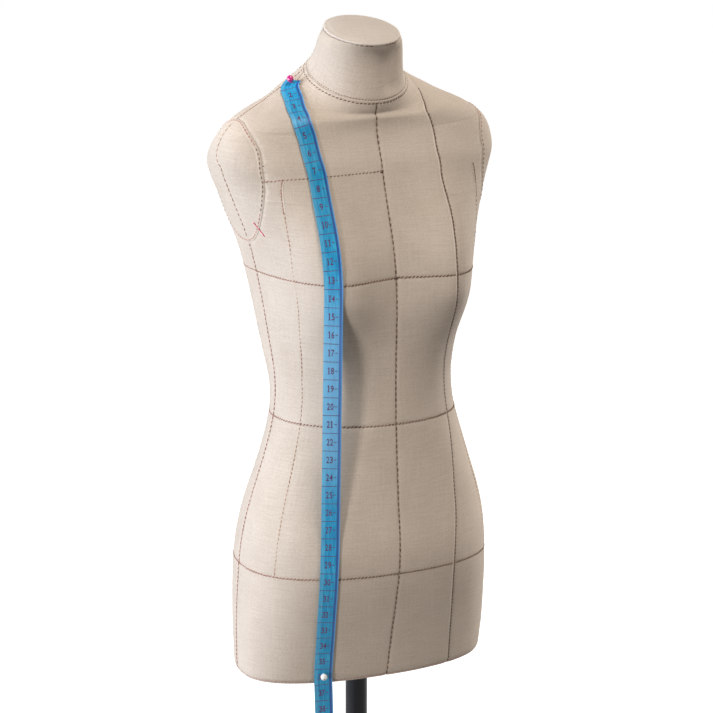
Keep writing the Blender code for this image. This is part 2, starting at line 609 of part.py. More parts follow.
# ---- tape measure -------------------------------------------------------------------
upper = natural_spline(range(len(TAPE_UPPER)), TAPE_UPPER)
lower = natural_spline(range(len(TAPE_LOWER)), TAPE_LOWER)
path = []
for i in range(3 * (len(TAPE_UPPER) - 1) + 1):
    p, s = upper(i / 3)
    path.append((body(p, s) + body_normal(p, s) * TAPE_LIFT, body_normal(p, s)))
leave = len(path)
for i in range(3 * (len(TAPE_LOWER) - 1) + 1):
    p, s = lower(i / 3)
    path.append((body(p, s) + body_normal(p, s) * TAPE_LIFT, body_normal(p, s)))
start, land = path[leave - 1], path[leave]
hang = []
for i in range(1, 8):                       # straight from the bust to the belly
    f = i / 8
    hang.append((start[0].lerp(land[0], f), start[1].lerp(land[1], f).normalized()))
path[leave:leave] = hang
last, out = path[-1]
down = (path[-1][0] - path[-2][0]).normalized()
done = sum((b[0] - a[0]).length for a, b in zip(path, path[1:]))
tail_dir, point, left = down.copy(), last.copy(), TAPE_L - done
steps = 12
for i in range(steps):
    tail_dir = tail_dir.lerp(Vector((0, 0, -1)), 0.45).normalized()
    point = point + tail_dir * (left / steps)
    side_face = Vector((out.x, out.y, 0)).normalized()
    path.append((point.copy(), (side_face - tail_dir * side_face.dot(tail_dir)).normalized()))

bm = bmesh.new()
rings = []
for i, (p, n) in enumerate(path):
    along = (path[min(i + 1, len(path) - 1)][0] - path[max(i - 1, 0)][0]).normalized()
    n = (n - along * n.dot(along)).normalized()
    w = along.cross(n).normalized() * TAPE_W / 2
    rings.append([bm.verts.new(q) for q in (p - w, p + w, p + w + n * TAPE_T, p - w + n * TAPE_T)])
for a, b in zip(rings, rings[1:]):
    for k in range(4):
        bm.faces.new((a[k], a[(k + 1) % 4], b[(k + 1) % 4], b[k]))
bm.faces.new(rings[0])
bm.faces.new(rings[-1])
tape = put("tape_measure", bm, TAPE, torso_axis, smooth=True, angle=50)

# ---- pins that hold the tape -------------------------------------------------------------
pin_holes = bmesh.new()
for where, station_at, lean, mat in (("shoulder_pin", (upper, 0.35), (0.10, 0.10, 0.0), PINK),
                                    ("hem_pin", (lower, len(TAPE_LOWER) - 1.80),
                                     (0.0, 0.0, -0.3), WHITE)):
    curve, at = station_at
    p, s = curve(at)
    n = body_normal(p, s)
    d = (n + Vector(lean)).normalized()
    foot = body(p, s) + n * (TAPE_LIFT + TAPE_T)
    turn = d.to_track_quat("Z", "Y").to_matrix().to_4x4()
    place = Matrix.Translation(foot) @ turn

    def add(profile, segments, target):
        piece = turned(profile, segments)
        bmesh.ops.transform(piece, matrix=place, verts=piece.verts)
        tmp = bpy.data.meshes.new("tmp")
        piece.to_mesh(tmp)
        piece.free()
        target.from_mesh(tmp)
        bpy.data.meshes.remove(tmp)

    shaft = bmesh.new()
    add([(0, -PIN_L), (PIN_R, -PIN_L + 2.5), (PIN_R, 0.3), (0, 0.3)], 8, shaft)
    put(where + "_shaft", shaft, STEEL, torso_axis)
    add([(0, -PIN_L - 1), (PIN_R + 0.35, -PIN_L - 1), (PIN_R + 0.35, 3), (0, 3)], 8, pin_holes)
    ball = bmesh.new()
    lift = PIN_HEAD_R + 0.65
    add([(PIN_HEAD_R * math.sin(math.pi * k / 8), lift - PIN_HEAD_R * math.cos(math.pi * k / 8))
         for k in range(9)], 12, ball)
    put(where + "_head", ball, mat, torso_axis)
holes = cutter("cut_pin_holes", pin_holes)
for ob in (tape, core, cover["cover_front_right"], cover["cover_side_front_right"],
           cover["cover_side_back_right"], cover["cover_back_right"]):
    boolean(ob, holes)
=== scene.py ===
import math

import bpy
import numpy as np
from mathutils import Matrix, Vector


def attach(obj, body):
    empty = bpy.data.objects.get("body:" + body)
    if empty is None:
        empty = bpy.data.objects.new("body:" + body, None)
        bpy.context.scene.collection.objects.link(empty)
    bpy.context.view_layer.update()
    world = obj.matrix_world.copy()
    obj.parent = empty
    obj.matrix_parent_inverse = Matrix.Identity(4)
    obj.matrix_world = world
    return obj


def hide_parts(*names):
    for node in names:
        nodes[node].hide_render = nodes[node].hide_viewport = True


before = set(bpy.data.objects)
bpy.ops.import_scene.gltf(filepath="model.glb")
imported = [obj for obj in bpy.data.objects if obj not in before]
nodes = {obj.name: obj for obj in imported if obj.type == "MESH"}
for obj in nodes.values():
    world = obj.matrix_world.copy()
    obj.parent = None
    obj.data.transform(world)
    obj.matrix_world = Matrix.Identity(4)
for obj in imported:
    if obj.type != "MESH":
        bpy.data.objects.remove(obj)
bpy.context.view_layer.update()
MM = 0.001

# =============================================================================
# the body's surface, in millimetres (the same rules as the CAD source)
# =============================================================================
HEM_Z, LEAN_Y, COVER_T = 350.0, -2.3, 1.2
STATIONS = np.array([
    (0.0, -1.2, 0.0, 74.0, -38.0, 52.0, -2.0, 2.25, 2.30),
    (30.0, 28.5, 0.0, 75.0, -45.0, 56.0, -4.5, 2.25, 2.30),
    (63.0, 65.0, 0.0, 73.5, -54.0, 59.0, -6.0, 2.25, 2.30),
    (105.0, 104.0, 0.0, 68.0, -53.0, 48.5, -7.5, 2.15, 2.20),
    (146.0, 151.0, 0.0, 54.0, -49.5, 39.5, -5.0, 2.10, 2.10),
    (188.0, 188.0, 0.0, 54.5, -49.0, 44.5, 4.5, 2.20, 2.20),
    (229.0, 234.5, 0.0, 62.5, -47.5, 51.5, 9.5, 2.30, 2.30),
    (263.0, 264.0, 0.0, 72.5, -40.5, 53.5, 9.5, 2.50, 2.40),
    (292.0, 289.0, 1.5, 82.5, -32.5, 51.5, 11.5, 2.70, 2.50),
    (313.0, 301.5, 4.0, 84.0, -29.5, 44.5, 9.0, 2.70, 2.50),
    (330.0, 315.5, 8.0, 77.0, -25.0, 37.0, 1.5, 2.40, 2.30),
    (350.0, 326.4, 13.0, 57.0, -25.0, 31.0, 3.0, 2.20, 2.10),
    (369.0, 332.7, 19.0, 44.0, -24.5, 32.0, 6.0, 2.05, 2.00),
    (385.0, 341.5, 24.5, 29.0, -27.0, 29.5, 3.5, 2.00, 2.00),
    (404.0, 357.5, 20.0, 24.5, -25.0, 19.0, -1.5, 2.00, 2.00),
    (425.0, 365.2, 14.0, 21.0, -26.5, 18.0, -7.0, 2.00, 2.00),
])
HEM_TUCK, HEM_ROUND = 1.8, 4.5
BUST = (41.5, 226.0, 26.5, 48.0, 27.5, 17.0)
BLADE = (36.0, 283.0, 26.0, 30.0, 35.0, 3.5)
SEAT = (33.0, 63.0, 29.0, 36.0, 32.0, 4.5)
SIDE_SEAM = ((0, 11), (63, 10), (105, 7.5), (146, 5), (188, -5), (229, -7),
             (263, -10.5), (300, -14.5), (313, -5), (330, 6), (350, 13), (369, 14), (385, 23))
FRONT_SEAM = ((0, -57), (63, -60.5), (105, -56), (146, -46.5), (188, -51.5), (229, -58),
              (263, -61.5), (292, -66), (313, -66.5), (330, -64), (350, -56), (369, -39),
              (378, -12), (385, 18))
FRONT_SEAM_RIGHT = ((0, -59.5), (63, -57.5), (105, -56), (146, -51), (188, -51), (222, -50.7),
                    (251, -55.5), (271, -60), (292, -62.8), (313, -62.3), (325, -60),
                    (337, -54), (354, -38.5), (369, -21), (374, -5), (378, 6), (385, 18))
BACK_SEAM = ((0, 58), (63, 61), (105, 58), (146, 50), (188, 54), (229, 58), (263, 61),
             (292, 64), (313, 65), (330, 63), (350, 58), (369, 49), (378, 38), (385, 28))
DART = ((63, -28.5), (105, -29), (146, -27.8), (171, -29.7), (189, -31.8), (212, -30.6),
        (230, -32.3), (254, -38.5), (268.5, -42.8), (296, -50.1))
ARMHOLE = (4.5, 286.0, 25.5, 33.5, 2.1)
HIP_S, WAIST_S, BUST_S, NECK_S, TOP_S = 63.0, 146.0, 229.0, 385.0, 425.0
CHEST = ((-139.6, 293.3), (-128.0, 296.0), (-114.0, 298.0), (-100.0, 298.5), (-90.0, 298.5))
TAPE_UPPER = ((-188.5, 377.5), (-179.0, 374.0), (-159.0, 369.0), (-141.5, 354.5),
              (-126.0, 337.0), (-119.6, 324.5), (-117.2, 310.0), (-117.2, 292.0),
              (-120.0, 271.5), (-123.4, 254.0), (-126.7, 238.0), (-129.0, 226.0))
TAPE_LOWER = ((-123.2, 84.0), (-122.9, 67.7), (-122.5, 57.5), (-121.8, 43.0),
              (-121.1, 28.8), (-120.8, 10.0), (-120.7, 5.0))
TAPE_W, TAPE_T, TAPE_L, TAPE_LIFT = 10.5, 0.45, 600.0, 0.7


def natural_spline(knots, values):
    knots = np.asarray(knots, float)
    values = np.asarray(values, float).reshape(len(knots), -1)
    n, h = len(knots), np.diff(knots)
    a, r = np.zeros((n, n)), np.zeros_like(values)
    a[0, 0] = a[-1, -1] = 1.0
    for i in range(1, n - 1):
        a[i, i - 1], a[i, i], a[i, i + 1] = h[i - 1], 2 * (h[i - 1] + h[i]), h[i]
        r[i] = 6 * ((values[i + 1] - values[i]) / h[i] - (values[i] - values[i - 1]) / h[i - 1])
    m = np.linalg.solve(a, r)

    def at(s):
        s = np.asarray(s, float)
        k = np.clip(np.searchsorted(knots, s) - 1, 0, n - 2)
        t, hh = (s - knots[k])[..., None], h[k][..., None]
        slope = (values[k + 1] - values[k]) / hh - hh * (2 * m[k] + m[k + 1]) / 6
        return values[k] + t * slope + t * t * m[k] / 2 + t ** 3 * (m[k + 1] - m[k]) / (6 * hh)

    return at


def steady_curve(table):
    x = np.array([p[0] for p in table], float)
    y = np.array([p[1] for p in table], float)
    d = np.diff(y) / np.diff(x)
    m = np.zeros(len(x))
    m[0], m[-1] = d[0], d[-1]
    for i in range(1, len(x) - 1):
        m[i] = 0.0 if d[i - 1] * d[i] <= 0 else 2 * d[i - 1] * d[i] / (d[i - 1] + d[i])

    def at(s):
        s = np.asarray(s, float)
        k = np.clip(np.searchsorted(x, s) - 1, 0, len(x) - 2)
        h = x[k + 1] - x[k]
        t = np.clip((s - x[k]) / h, 0, 1)
        return ((2 * t ** 3 - 3 * t ** 2 + 1) * y[k] + (t ** 3 - 2 * t ** 2 + t) * h * m[k]
                + (3 * t ** 2 - 2 * t ** 3) * y[k + 1] + (t ** 3 - t ** 2) * h * m[k + 1])

    return at


station = natural_spline(STATIONS[:, 0], STATIONS[:, 1:])
side_seam, front_seam, front_seam_right, back_seam, dart_line = (
    steady_curve(t) for t in (SIDE_SEAM, FRONT_SEAM, FRONT_SEAM_RIGHT, BACK_SEAM, DART))


def ease(t):
    t = np.clip(t, 0.0, 1.0)
    return t * t * (3 - 2 * t)


def swelling(shape, x, z):
    x0, z0, sx, up, down, rise = shape
    dz = z - z0
    return rise * np.exp(-((np.abs(x) - x0) / sx) ** 2 - (dz / np.where(dz > 0, up, down)) ** 2)


def body(phi, s):
    """Points on the cloth's outer face, in millimetres."""
    phi, s = np.broadcast_arrays(np.asarray(phi, float), np.asarray(s, float))
    v = station(s)
    z, tilt, a, yf, yb, yc, nf, nb = (v[..., i] for i in range(8))
    c, sn = np.cos(np.radians(phi)), np.sin(np.radians(phi))
    n = np.where(sn < 0, nf, nb)
    tuck = HEM_TUCK * np.maximum(0.0, 1 - s / HEM_ROUND) ** 2
    a = a - tuck
    b = np.where(sn < 0, yc - yf, yb - yc) - tuck
    r = (np.abs(c) ** n + np.abs(sn) ** n) ** (-1 / n)
    x, y = a * r * c, b * r * sn
    t = np.radians(tilt)
    py, pz = yc + y * np.cos(t), z + y * np.sin(t)
    py = py - ease(-sn * 1.6) * swelling(BUST, x, pz)
    py = py + ease(sn * 1.6) * (swelling(BLADE, x, pz) + swelling(SEAT, x, pz))
    return np.stack([x, py + LEAN_Y, pz + HEM_Z], -1)


def unit(v):
    return v / (np.linalg.norm(v, axis=-1, keepdims=True) + 1e-12)


def body_normal(phi, s):
    around = body(phi + 0.2, s) - body(phi - 0.2, s)
    s0, s1 = np.maximum(s - 0.5, 0.0), np.minimum(s + 0.5, TOP_S)
    return unit(np.cross(around, body(phi, s1) - body(phi, s0)))


def mm_per_turn(phi, s):
    """Millimetres round the body for one degree."""
    return np.linalg.norm(body(phi + 0.1, s) - body(phi - 0.1, s), axis=-1) / 0.2


def ripple(p, scale, seed):
    """Smooth, repeatable unevenness from -1 to 1 at points p (millimetres)."""
    q = np.asarray(p, float) / scale
    out = 0.0
    rng = np.random.RandomState(seed)
    for k in range(6):
        d = rng.normal(size=3)
        d = d / np.linalg.norm(d) * (0.7 + 0.25 * k)
        out = out + np.sin(q @ d * 2 * math.pi + rng.uniform(0, 6.28)) / (1 + 0.3 * k)
    return out / 3.6


# =============================================================================
# materials
# =============================================================================
def srgb(r, g, b):
    f = lambda v: (v / 255 / 12.92) if v / 255 <= 0.04045 else ((v / 255 + 0.055) / 1.055) ** 2.4
    return (f(r), f(g), f(b), 1.0)


class Mat:
    """A small helper for building node materials."""

    def __init__(self, name, colour=(0.8, 0.8, 0.8, 1), rough=0.5, metal=0.0):
        self.m = bpy.data.materials.new(name)
        self.m.use_nodes = True
        self.t = self.m.node_tree
        self.b = self.t.nodes["Principled BSDF"]
        self.b.inputs["Base Color"].default_value = colour
        self.b.inputs["Roughness"].default_value = rough
        self.b.inputs["Metallic"].default_value = metal

    def node(self, kind, ins=None, **props):
        n = self.t.nodes.new(kind)
        for k, v in props.items():
            setattr(n, k, v)
        for k, v in (ins or {}).items():
            if isinstance(v, bpy.types.NodeSocket):
                self.t.links.new(v, n.inputs[k])
            else:
                n.inputs[k].default_value = v
        return n

    def math(self, op, a, b=0.0, c=0.0):
        return self.node("ShaderNodeMath", {0: a, 1: b, 2: c}, operation=op).outputs[0]

    def ramp(self, fac, stops):
        n = self.node("ShaderNodeValToRGB", {0: fac})
        e = n.color_ramp.elements
        while len(e) < len(stops):
            e.new(0.5)
        for el, (pos, col) in zip(e, stops):
            el.position, el.color = pos, col
        return n.outputs[0]

    def noise(self, vec, scale, detail=2.0, rough=0.5):
        return self.node("ShaderNodeTexNoise", {"Vector": vec, "Scale": scale, "Detail": detail,
                                                "Roughness": rough}).outputs["Fac"]

    def mapping(self, vec, scale, rot=(0, 0, 0)):
        return self.node("ShaderNodeMapping", {"Vector": vec, "Scale": scale,
                                               "Rotation": rot}).outputs[0]

    def mix(self, fac, a, b, blend="MIX"):
        n = self.node("ShaderNodeMix", data_type="RGBA", blend_type=blend)
        for i, v in ((0, fac), (6, a), (7, b)):
            if isinstance(v, bpy.types.NodeSocket):
                self.t.links.new(v, n.inputs[i])
            else:
                n.inputs[i].default_value = v
        return n.outputs[2]

    def link(self, out, name):
        self.t.links.new(out, self.b.inputs[name])

    def bump(self, height, strength, distance, normal=None):
        ins = {"Height": height, "Strength": strength, "Distance": distance}
        if normal is not None:
            ins["Normal"] = normal
        return self.node("ShaderNodeBump", ins).outputs[0]

    def uv(self):
        n = self.node("ShaderNodeUVMap", uv_map="cloth_mm")
        s = self.node("ShaderNodeSeparateXYZ", {0: n.outputs[0]})
        return n.outputs[0], s.outputs[0], s.outputs[1]

    def obj(self):
        return self.node("ShaderNodeTexCoord").outputs["Object"]


def cloth_material(name, light, dark, pitch_u=0.62, pitch_v=0.56, depth=0.00012):
    m = Mat(name, light, 0.92)
    vec, u, v = m.uv()
    # slow wander of the threads, so that the weave isn't ruler straight
    wander = m.noise(m.mapping(vec, (0.02, 0.02, 0.02)), 1.0, 2)
    wv = m.math("MULTIPLY_ADD", wander, 1.2, v)
    wu = m.math("MULTIPLY_ADD", wander, 1.2, u)
    weft = m.math("ABSOLUTE", m.math("SINE", m.math("MULTIPLY", wv, math.pi / pitch_v)))
    warp = m.math("ABSOLUTE", m.math("SINE", m.math("MULTIPLY", wu, math.pi / pitch_u)))
    alt = m.math("MULTIPLY", m.math("SINE", m.math("MULTIPLY", wv, math.pi / pitch_v)),
                 m.math("SINE", m.math("MULTIPLY", wu, math.pi / pitch_u)))
    over = m.math("GREATER_THAN", alt, 0.0)
    height = m.math("ADD", m.math("MULTIPLY", weft, m.math("MULTIPLY_ADD", over, 0.35, 0.65)),
                    m.math("MULTIPLY", warp, m.math("MULTIPLY_ADD", over, -0.3, 0.5)))
    slub_h = m.noise(m.mapping(vec, (0.06, 1.7, 1.0)), 1.0, 3, 0.6)
    slub_v = m.noise(m.mapping(vec, (1.7, 0.05, 1.0)), 1.0, 3, 0.6)
    cloud = m.noise(m.mapping(vec, (0.035, 0.03, 1.0)), 1.0, 3, 0.55)
    grain = m.noise(m.mapping(vec, (0.75, 0.95, 1.0)), 1.0, 3, 0.7)
    fac = m.math("ADD", m.math("MULTIPLY", slub_h, 0.30), m.math("MULTIPLY", slub_v, 0.18))
    fac = m.math("ADD", fac, m.math("MULTIPLY", cloud, 0.20))
    fac = m.math("ADD", fac, m.math("MULTIPLY", grain, 0.34))
    fac = m.math("ADD", fac, m.math("MULTIPLY_ADD", height, 0.10, -0.07))
    m.link(m.ramp(fac, [(0.36, dark), (0.62, light)]), "Base Color")
    h2 = m.math("ADD", height, m.math("MULTIPLY", slub_h, 0.9))
    h2 = m.math("ADD", h2, m.math("MULTIPLY", grain, 2.2))
    fine = m.bump(h2, 0.7, depth)
    m.link(m.bump(cloud, 0.25, 0.0006, fine), "Normal")
    m.b.inputs["Roughness"].default_value = 0.9
    m.b.inputs["Specular IOR Level"].default_value = 0.18
    m.b.inputs["Sheen Weight"].default_value = 0.22
    m.b.inputs["Sheen Roughness"].default_value = 0.55
    m.b.inputs["Sheen Tint"].default_value = srgb(236, 222, 205)
    return m.m


CLOTH = cloth_material("cover_cloth", srgb(214, 197, 180), srgb(188, 169, 150))
# painted light: the cap's cloth is lighter than the cover's, partly standing in for the light falling on the cap's
# top
CAP_CLOTH_PAINTED_LIGHTER = cloth_material("cap_cloth", srgb(219, 205, 191), srgb(196, 180, 165))
LINING = cloth_material("lining_cloth", srgb(205, 188, 170), srgb(178, 160, 142))
WELT = cloth_material("folded_cloth", srgb(226, 211, 196), srgb(203, 186, 168))


def thread_material(name, light, dark, painted_lit_tint=None):
    m = Mat(name, light, 0.75)
    o = m.obj()
    twist = m.node("ShaderNodeTexWave", {"Vector": m.mapping(o, (1, 1, 1), (0.4, 0.7, 0.2)),
                                         "Scale": 1500.0, "Distortion": 1.0}).outputs["Fac"]
    n = m.noise(o, 260.0, 2)
    c = m.ramp(n, [(0.35, dark), (0.65, light)])
    if painted_lit_tint:
        # painted light: the thread turns a lighter pinkish tan on its lit side, towards -x
        x = m.node("ShaderNodeSeparateXYZ", {0: o}).outputs[0]
        f = m.node("ShaderNodeMapRange", {"Value": x, "From Min": -0.034, "From Max": -0.056,
                                          "To Min": 0.0, "To Max": 0.85}).outputs[0]
        c = m.mix(f, c, painted_lit_tint)
    m.link(c, "Base Color")
    m.link(m.bump(twist, 0.4, 0.00006), "Normal")
    m.b.inputs["Specular IOR Level"].default_value = 0.3
    return m.m


# painted light: the last colour given to THREAD and THREAD_ORANGE is a lighter tint laid on their stitches on the lit
# side
THREAD = thread_material("brown_thread", srgb(142, 114, 95), srgb(100, 78, 64), srgb(176, 134, 118))
THREAD_RED = thread_material("red_brown_thread", srgb(198, 140, 126), srgb(168, 112, 98))
THREAD_ORANGE = thread_material("tan_thread", srgb(168, 132, 106), srgb(128, 98, 76), srgb(186, 148, 122))
THREAD_PLAIN = thread_material("plain_brown_thread", srgb(140, 110, 92), srgb(98, 74, 60))
PINK_THREAD = thread_material("pink_thread", srgb(238, 92, 132), srgb(214, 60, 104))


def foam_material():
    m = Mat("foam", srgb(226, 219, 200), 0.95)
    o = m.obj()
    v = m.node("ShaderNodeTexVoronoi", {"Vector": o, "Scale": 900.0}).outputs["Distance"]
    n = m.noise(o, 60.0, 4)
    m.link(m.ramp(n, [(0.3, srgb(206, 197, 172)), (0.7, srgb(232, 226, 208))]), "Base Color")
    m.link(m.bump(v, 0.5, 0.0004), "Normal")
    return m.m


def wood_material():
    m = Mat("plywood", srgb(190, 152, 104), 0.62)
    o = m.mapping(m.obj(), (18, 160, 160))
    n = m.noise(o, 1.0, 5, 0.6)
    m.link(m.ramp(n, [(0.3, srgb(158, 118, 74)), (0.5, srgb(196, 158, 110)),
                      (0.7, srgb(214, 180, 134))]), "Base Color")
    m.link(m.bump(n, 0.3, 0.0003), "Normal")
    return m.m


def paint_material(name="black_powder_coat", lo=0.36, hi=0.52):
    m = Mat(name, (0.010, 0.010, 0.011, 1), 0.42)
    o = m.obj()
    peel = m.noise(o, 900.0, 2)
    wear = m.noise(o, 22.0, 4)
    m.link(m.ramp(wear, [(0.3, (lo, lo, lo, 1)), (0.75, (hi, hi, hi, 1))]), "Roughness")
    m.link(m.ramp(wear, [(0.3, (0.005, 0.005, 0.006, 1)), (0.8, (0.010, 0.010, 0.012, 1))]),
           "Base Color")
    m.link(m.bump(peel, 0.35, 0.00012), "Normal")
    m.b.inputs["Specular IOR Level"].default_value = 0.14
    return m.m


def steel_material():
    m = Mat("brushed_steel", (0.58, 0.58, 0.59, 1), 0.3, 1.0)
    o = m.mapping(m.obj(), (40, 40, 900))
    n = m.noise(o, 1.0, 3)
    m.link(m.ramp(n, [(0.3, (0.24, 0.24, 0.24, 1)), (0.7, (0.40, 0.40, 0.40, 1))]), "Roughness")
    m.link(m.bump(n, 0.15, 0.00005), "Normal")
    return m.m


def plastic_material(name, colour, rough, grain=1400.0, strength=0.2, coat=0.0):
    m = Mat(name, colour, rough)
    o = m.obj()
    m.link(m.bump(m.noise(o, grain, 2), strength, 0.00006), "Normal")
    n = m.noise(o, 35.0, 3)
    d = tuple(c * 0.88 for c in colour[:3]) + (1.0,)
    m.link(m.ramp(n, [(0.3, d), (0.7, colour)]), "Base Color")
    m.b.inputs["Coat Weight"].default_value = coat
    m.b.inputs["Coat Roughness"].default_value = 0.06
    return m.m


FOAM, WOOD, BLACK, STEEL = foam_material(), wood_material(), paint_material(), steel_material()
NYLON = plastic_material("black_nylon", (0.020, 0.020, 0.021, 1), 0.48, 1100, 0.3)
RUBBER = plastic_material("black_rubber", (0.014, 0.014, 0.014, 1), 0.85, 500, 0.5)
PINK_BEAD = plastic_material("pink_bead", srgb(208, 36, 122), 0.16, 80, 0.03, 0.6)
WHITE_BEAD = plastic_material("white_bead", srgb(236, 234, 226), 0.18, 80, 0.03, 0.6)
BEAD_CORE = plastic_material("bead_core", srgb(120, 140, 112), 0.4, 80, 0.03)
INK = plastic_material("tape_ink", srgb(86, 28, 84), 0.55, 900, 0.1)


def tape_material():
    """Blue tape: a light ground and a dark band along one edge; the centimetre lines are separate ticks."""
    m = Mat("tape_blue", srgb(60, 140, 182), 0.5)
    vec, u, v = m.uv()                  # u 0..10.5 across (0 is the wearer's side), v along
    stripes = m.math("SINE", m.math("MULTIPLY", u, 2 * math.pi / 0.42))
    cross = m.math("SINE", m.math("MULTIPLY", v, 2 * math.pi / 0.5))
    n = m.noise(m.mapping(vec, (0.9, 0.09, 1)), 1.0, 4, 0.6)
    ground = m.ramp(m.math("ADD", n, m.math("MULTIPLY", stripes, 0.05)),
                    [(0.32, srgb(14, 122, 172)), (0.52, srgb(30, 146, 190)),
                     (0.72, srgb(66, 172, 206))])
    # painted highlight: a paler stretch in the middle, where the tape hangs free, stands in for the light it catches
    painted_highlight = m.math("MULTIPLY", m.node("ShaderNodeMapRange", {"Value": v, "From Min": 125.0, "From Max": 165.0},
                                     interpolation_type="SMOOTHSTEP").outputs[0],
                  m.node("ShaderNodeMapRange", {"Value": v, "From Min": 262.0, "From Max": 215.0},
                         interpolation_type="SMOOTHSTEP").outputs[0])
    ground = m.mix(m.math("MULTIPLY", painted_highlight, 0.42), ground, srgb(150, 196, 228))
    band = m.math("GREATER_THAN", u, 8.55)
    edge = m.math("GREATER_THAN", u, 9.85)
    left = m.math("LESS_THAN", u, 2.1)
    c = m.mix(m.math("MULTIPLY", left, 0.35), ground, srgb(112, 184, 214))
    # the dark band gets the painted highlight too, where the tape hangs free
    c = m.mix(band, c, m.mix(m.math("MULTIPLY", painted_highlight, 0.4), srgb(24, 88, 150), srgb(96, 140, 200)))
    c = m.mix(edge, c, srgb(84, 148, 200))
    m.link(c, "Base Color")
    h = m.math("ADD", m.math("MULTIPLY", stripes, 0.5), m.math("MULTIPLY", cross, 0.35))
    m.link(m.bump(h, 0.3, 0.00008), "Normal")
    m.b.inputs["Specular IOR Level"].default_value = 0.4
    m.b.inputs["Roughness"].default_value = 0.42
    return m.m


TAPE = tape_material()


# =============================================================================
# mesh helpers
# =============================================================================
def mesh(name, verts, faces, mat, uv=None, smooth=True, sharp=None):
    """A mesh object from millimetre vertices."""
    me = bpy.data.meshes.new(name)
    me.from_pydata((np.asarray(verts, float) * MM).tolist(), [], [list(map(int, f)) for f in faces])
    me.materials.append(mat)
    if uv is not None:
        layer = me.uv_layers.new(name="cloth_mm")
        idx = np.zeros(len(me.loops), np.int32)
        me.loops.foreach_get("vertex_index", idx)
        layer.data.foreach_set("uv", np.asarray(uv, np.float32)[idx].ravel())
    me.validate()
    if smooth:
        me.shade_smooth()
        if sharp:
            me.set_sharp_from_angle(angle=math.radians(sharp))
    ob = bpy.data.objects.new(name, me)
    bpy.context.scene.collection.objects.link(ob)
    return ob


def grid_faces(rows, cols, closed=False, offset=0, flip=False):
    i, j = np.meshgrid(np.arange(rows - 1), np.arange(cols if closed else cols - 1), indexing="ij")
    j2 = (j + 1) % cols
    f = np.stack([i * cols + j, i * cols + j2, (i + 1) * cols + j2, (i + 1) * cols + j], -1)
    f = f.reshape(-1, 4) + offset
    return f[:, ::-1] if flip else f


def thicken(ob, t):
    m = ob.modifiers.new("thickness", "SOLIDIFY")
    m.thickness = t * MM
    m.offset = -1.0
    m.use_even_offset = False
    return ob


def done(ob, bodyname, slot=None, *cad):
    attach(ob, bodyname)
    if cad:
        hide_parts(*cad)
    return ob


def lathe(name, profile, mat, segments=128, axis="Z", at=(0, 0, 0), closed=False, sharp=38,
          wave=None):
    """Turn a profile of (radius, height) about an axis; ends at radius 0 are closed."""
    verts, faces, rings = [], [], []
    ang = np.arange(segments) * 2 * math.pi / segments
    for r, h in profile:
        if r < 1e-6:
            rings.append([len(verts)])
            verts.append((0, 0, h))
        else:
            rings.append(list(range(len(verts), len(verts) + segments)))
            rr = r if wave is None else r * wave(ang, h)
            verts += list(zip(rr * np.cos(ang) + 0 * ang, rr * np.sin(ang) + 0 * ang, [h] * segments))
    pairs = list(zip(rings, rings[1:]))
    if closed:
        pairs.append((rings[-1], rings[0]))
    for a, b in pairs:
        for i in range(segments):
            j = (i + 1) % segments
            loop = [a[i % len(a)], a[j % len(a)], b[j % len(b)], b[i % len(b)]]
            keep = []
            for v in loop:
                if v not in keep:
                    keep.append(v)
            if len(keep) > 2:
                faces.append(keep)
    v = np.array(verts, float)
    if axis == "X":
        v = v[:, [2, 0, 1]]
    v = v + np.array(at, float)
    ob = mesh(name, v, faces, mat, sharp=sharp)
    fix_normals(ob)
    return ob


def fix_normals(ob):
    import bmesh
    bm = bmesh.new()
    bm.from_mesh(ob.data)
    bmesh.ops.recalc_face_normals(bm, faces=bm.faces)
    bm.to_mesh(ob.data)
    bm.free()


def rounded(profile, r=0.5, steps=4, closed=False):
    """Round each corner of a profile by about r."""
    out = []
    n = len(profile)
    for i, p in enumerate(profile):
        p = np.array(p, float)
        if not closed and i in (0, n - 1):
            out.append(tuple(p))
            continue
        a, b = np.array(profile[i - 1], float), np.array(profile[(i + 1) % n], float)
        da, db = a - p, b - p
        la, lb = np.linalg.norm(da), np.linalg.norm(db)
        k = min(r, la * 0.45, lb * 0.45)
        q0, q1 = p + da / la * k, p + db / lb * k
        for s in range(steps + 1):
            t = s / steps
            out.append(tuple((1 - t) ** 2 * q0 + 2 * t * (1 - t) * p + t * t * q1))
    return out


# =============================================================================
# the cloth cover
# =============================================================================
LINES = (1.6, HIP_S, WAIST_S, BUST_S, 383.4)


def row_list():
    rows = list(np.arange(0, 384.9, 1.7))
    rows += [0.0, 0.25, 0.6, 1.0, 1.6, 2.3, 3.0, 384.0, 384.5, 384.9]
    for s in LINES[1:4]:
        rows += [s - 1.4, s - 0.8, s - 0.4, s, s + 0.4, s + 0.8, s + 1.4]
    rows = sorted(set(round(r, 3) for r in rows if 0 <= r <= 384.9))
    out = [rows[0]]
    for r in rows[1:]:
        if r - out[-1] > 0.19:
            out.append(r)
    return np.array(out)


ROWS = row_list()


def seam_depth(d):
    """How far the cloth is drawn in at distance d (mm) from a seam."""
    return 0.62 * np.exp(-(d / 0.45)) + 0.07 * np.exp(-((d / 2.4) ** 2)) - 0.035 * np.exp(-((d - 2.2) / 1.2) ** 2)


def oval_dist(p):
    """Rough distance (mm) outside the armhole oval, from points on the body."""
    cy, cz, w, h, n = ARMHOLE
    dy, dz = p[..., 1] - cy - LEAN_Y, p[..., 2] - cz - HEM_Z
    f = ((np.abs(dy) / w) ** n + (np.abs(dz) / h) ** n) ** (1 / n)
    r = np.hypot(dy, dz)
    return np.where(np.abs(p[..., 0]) > 42, r * (1 - 1 / np.maximum(f, 1e-6)), 99.0)


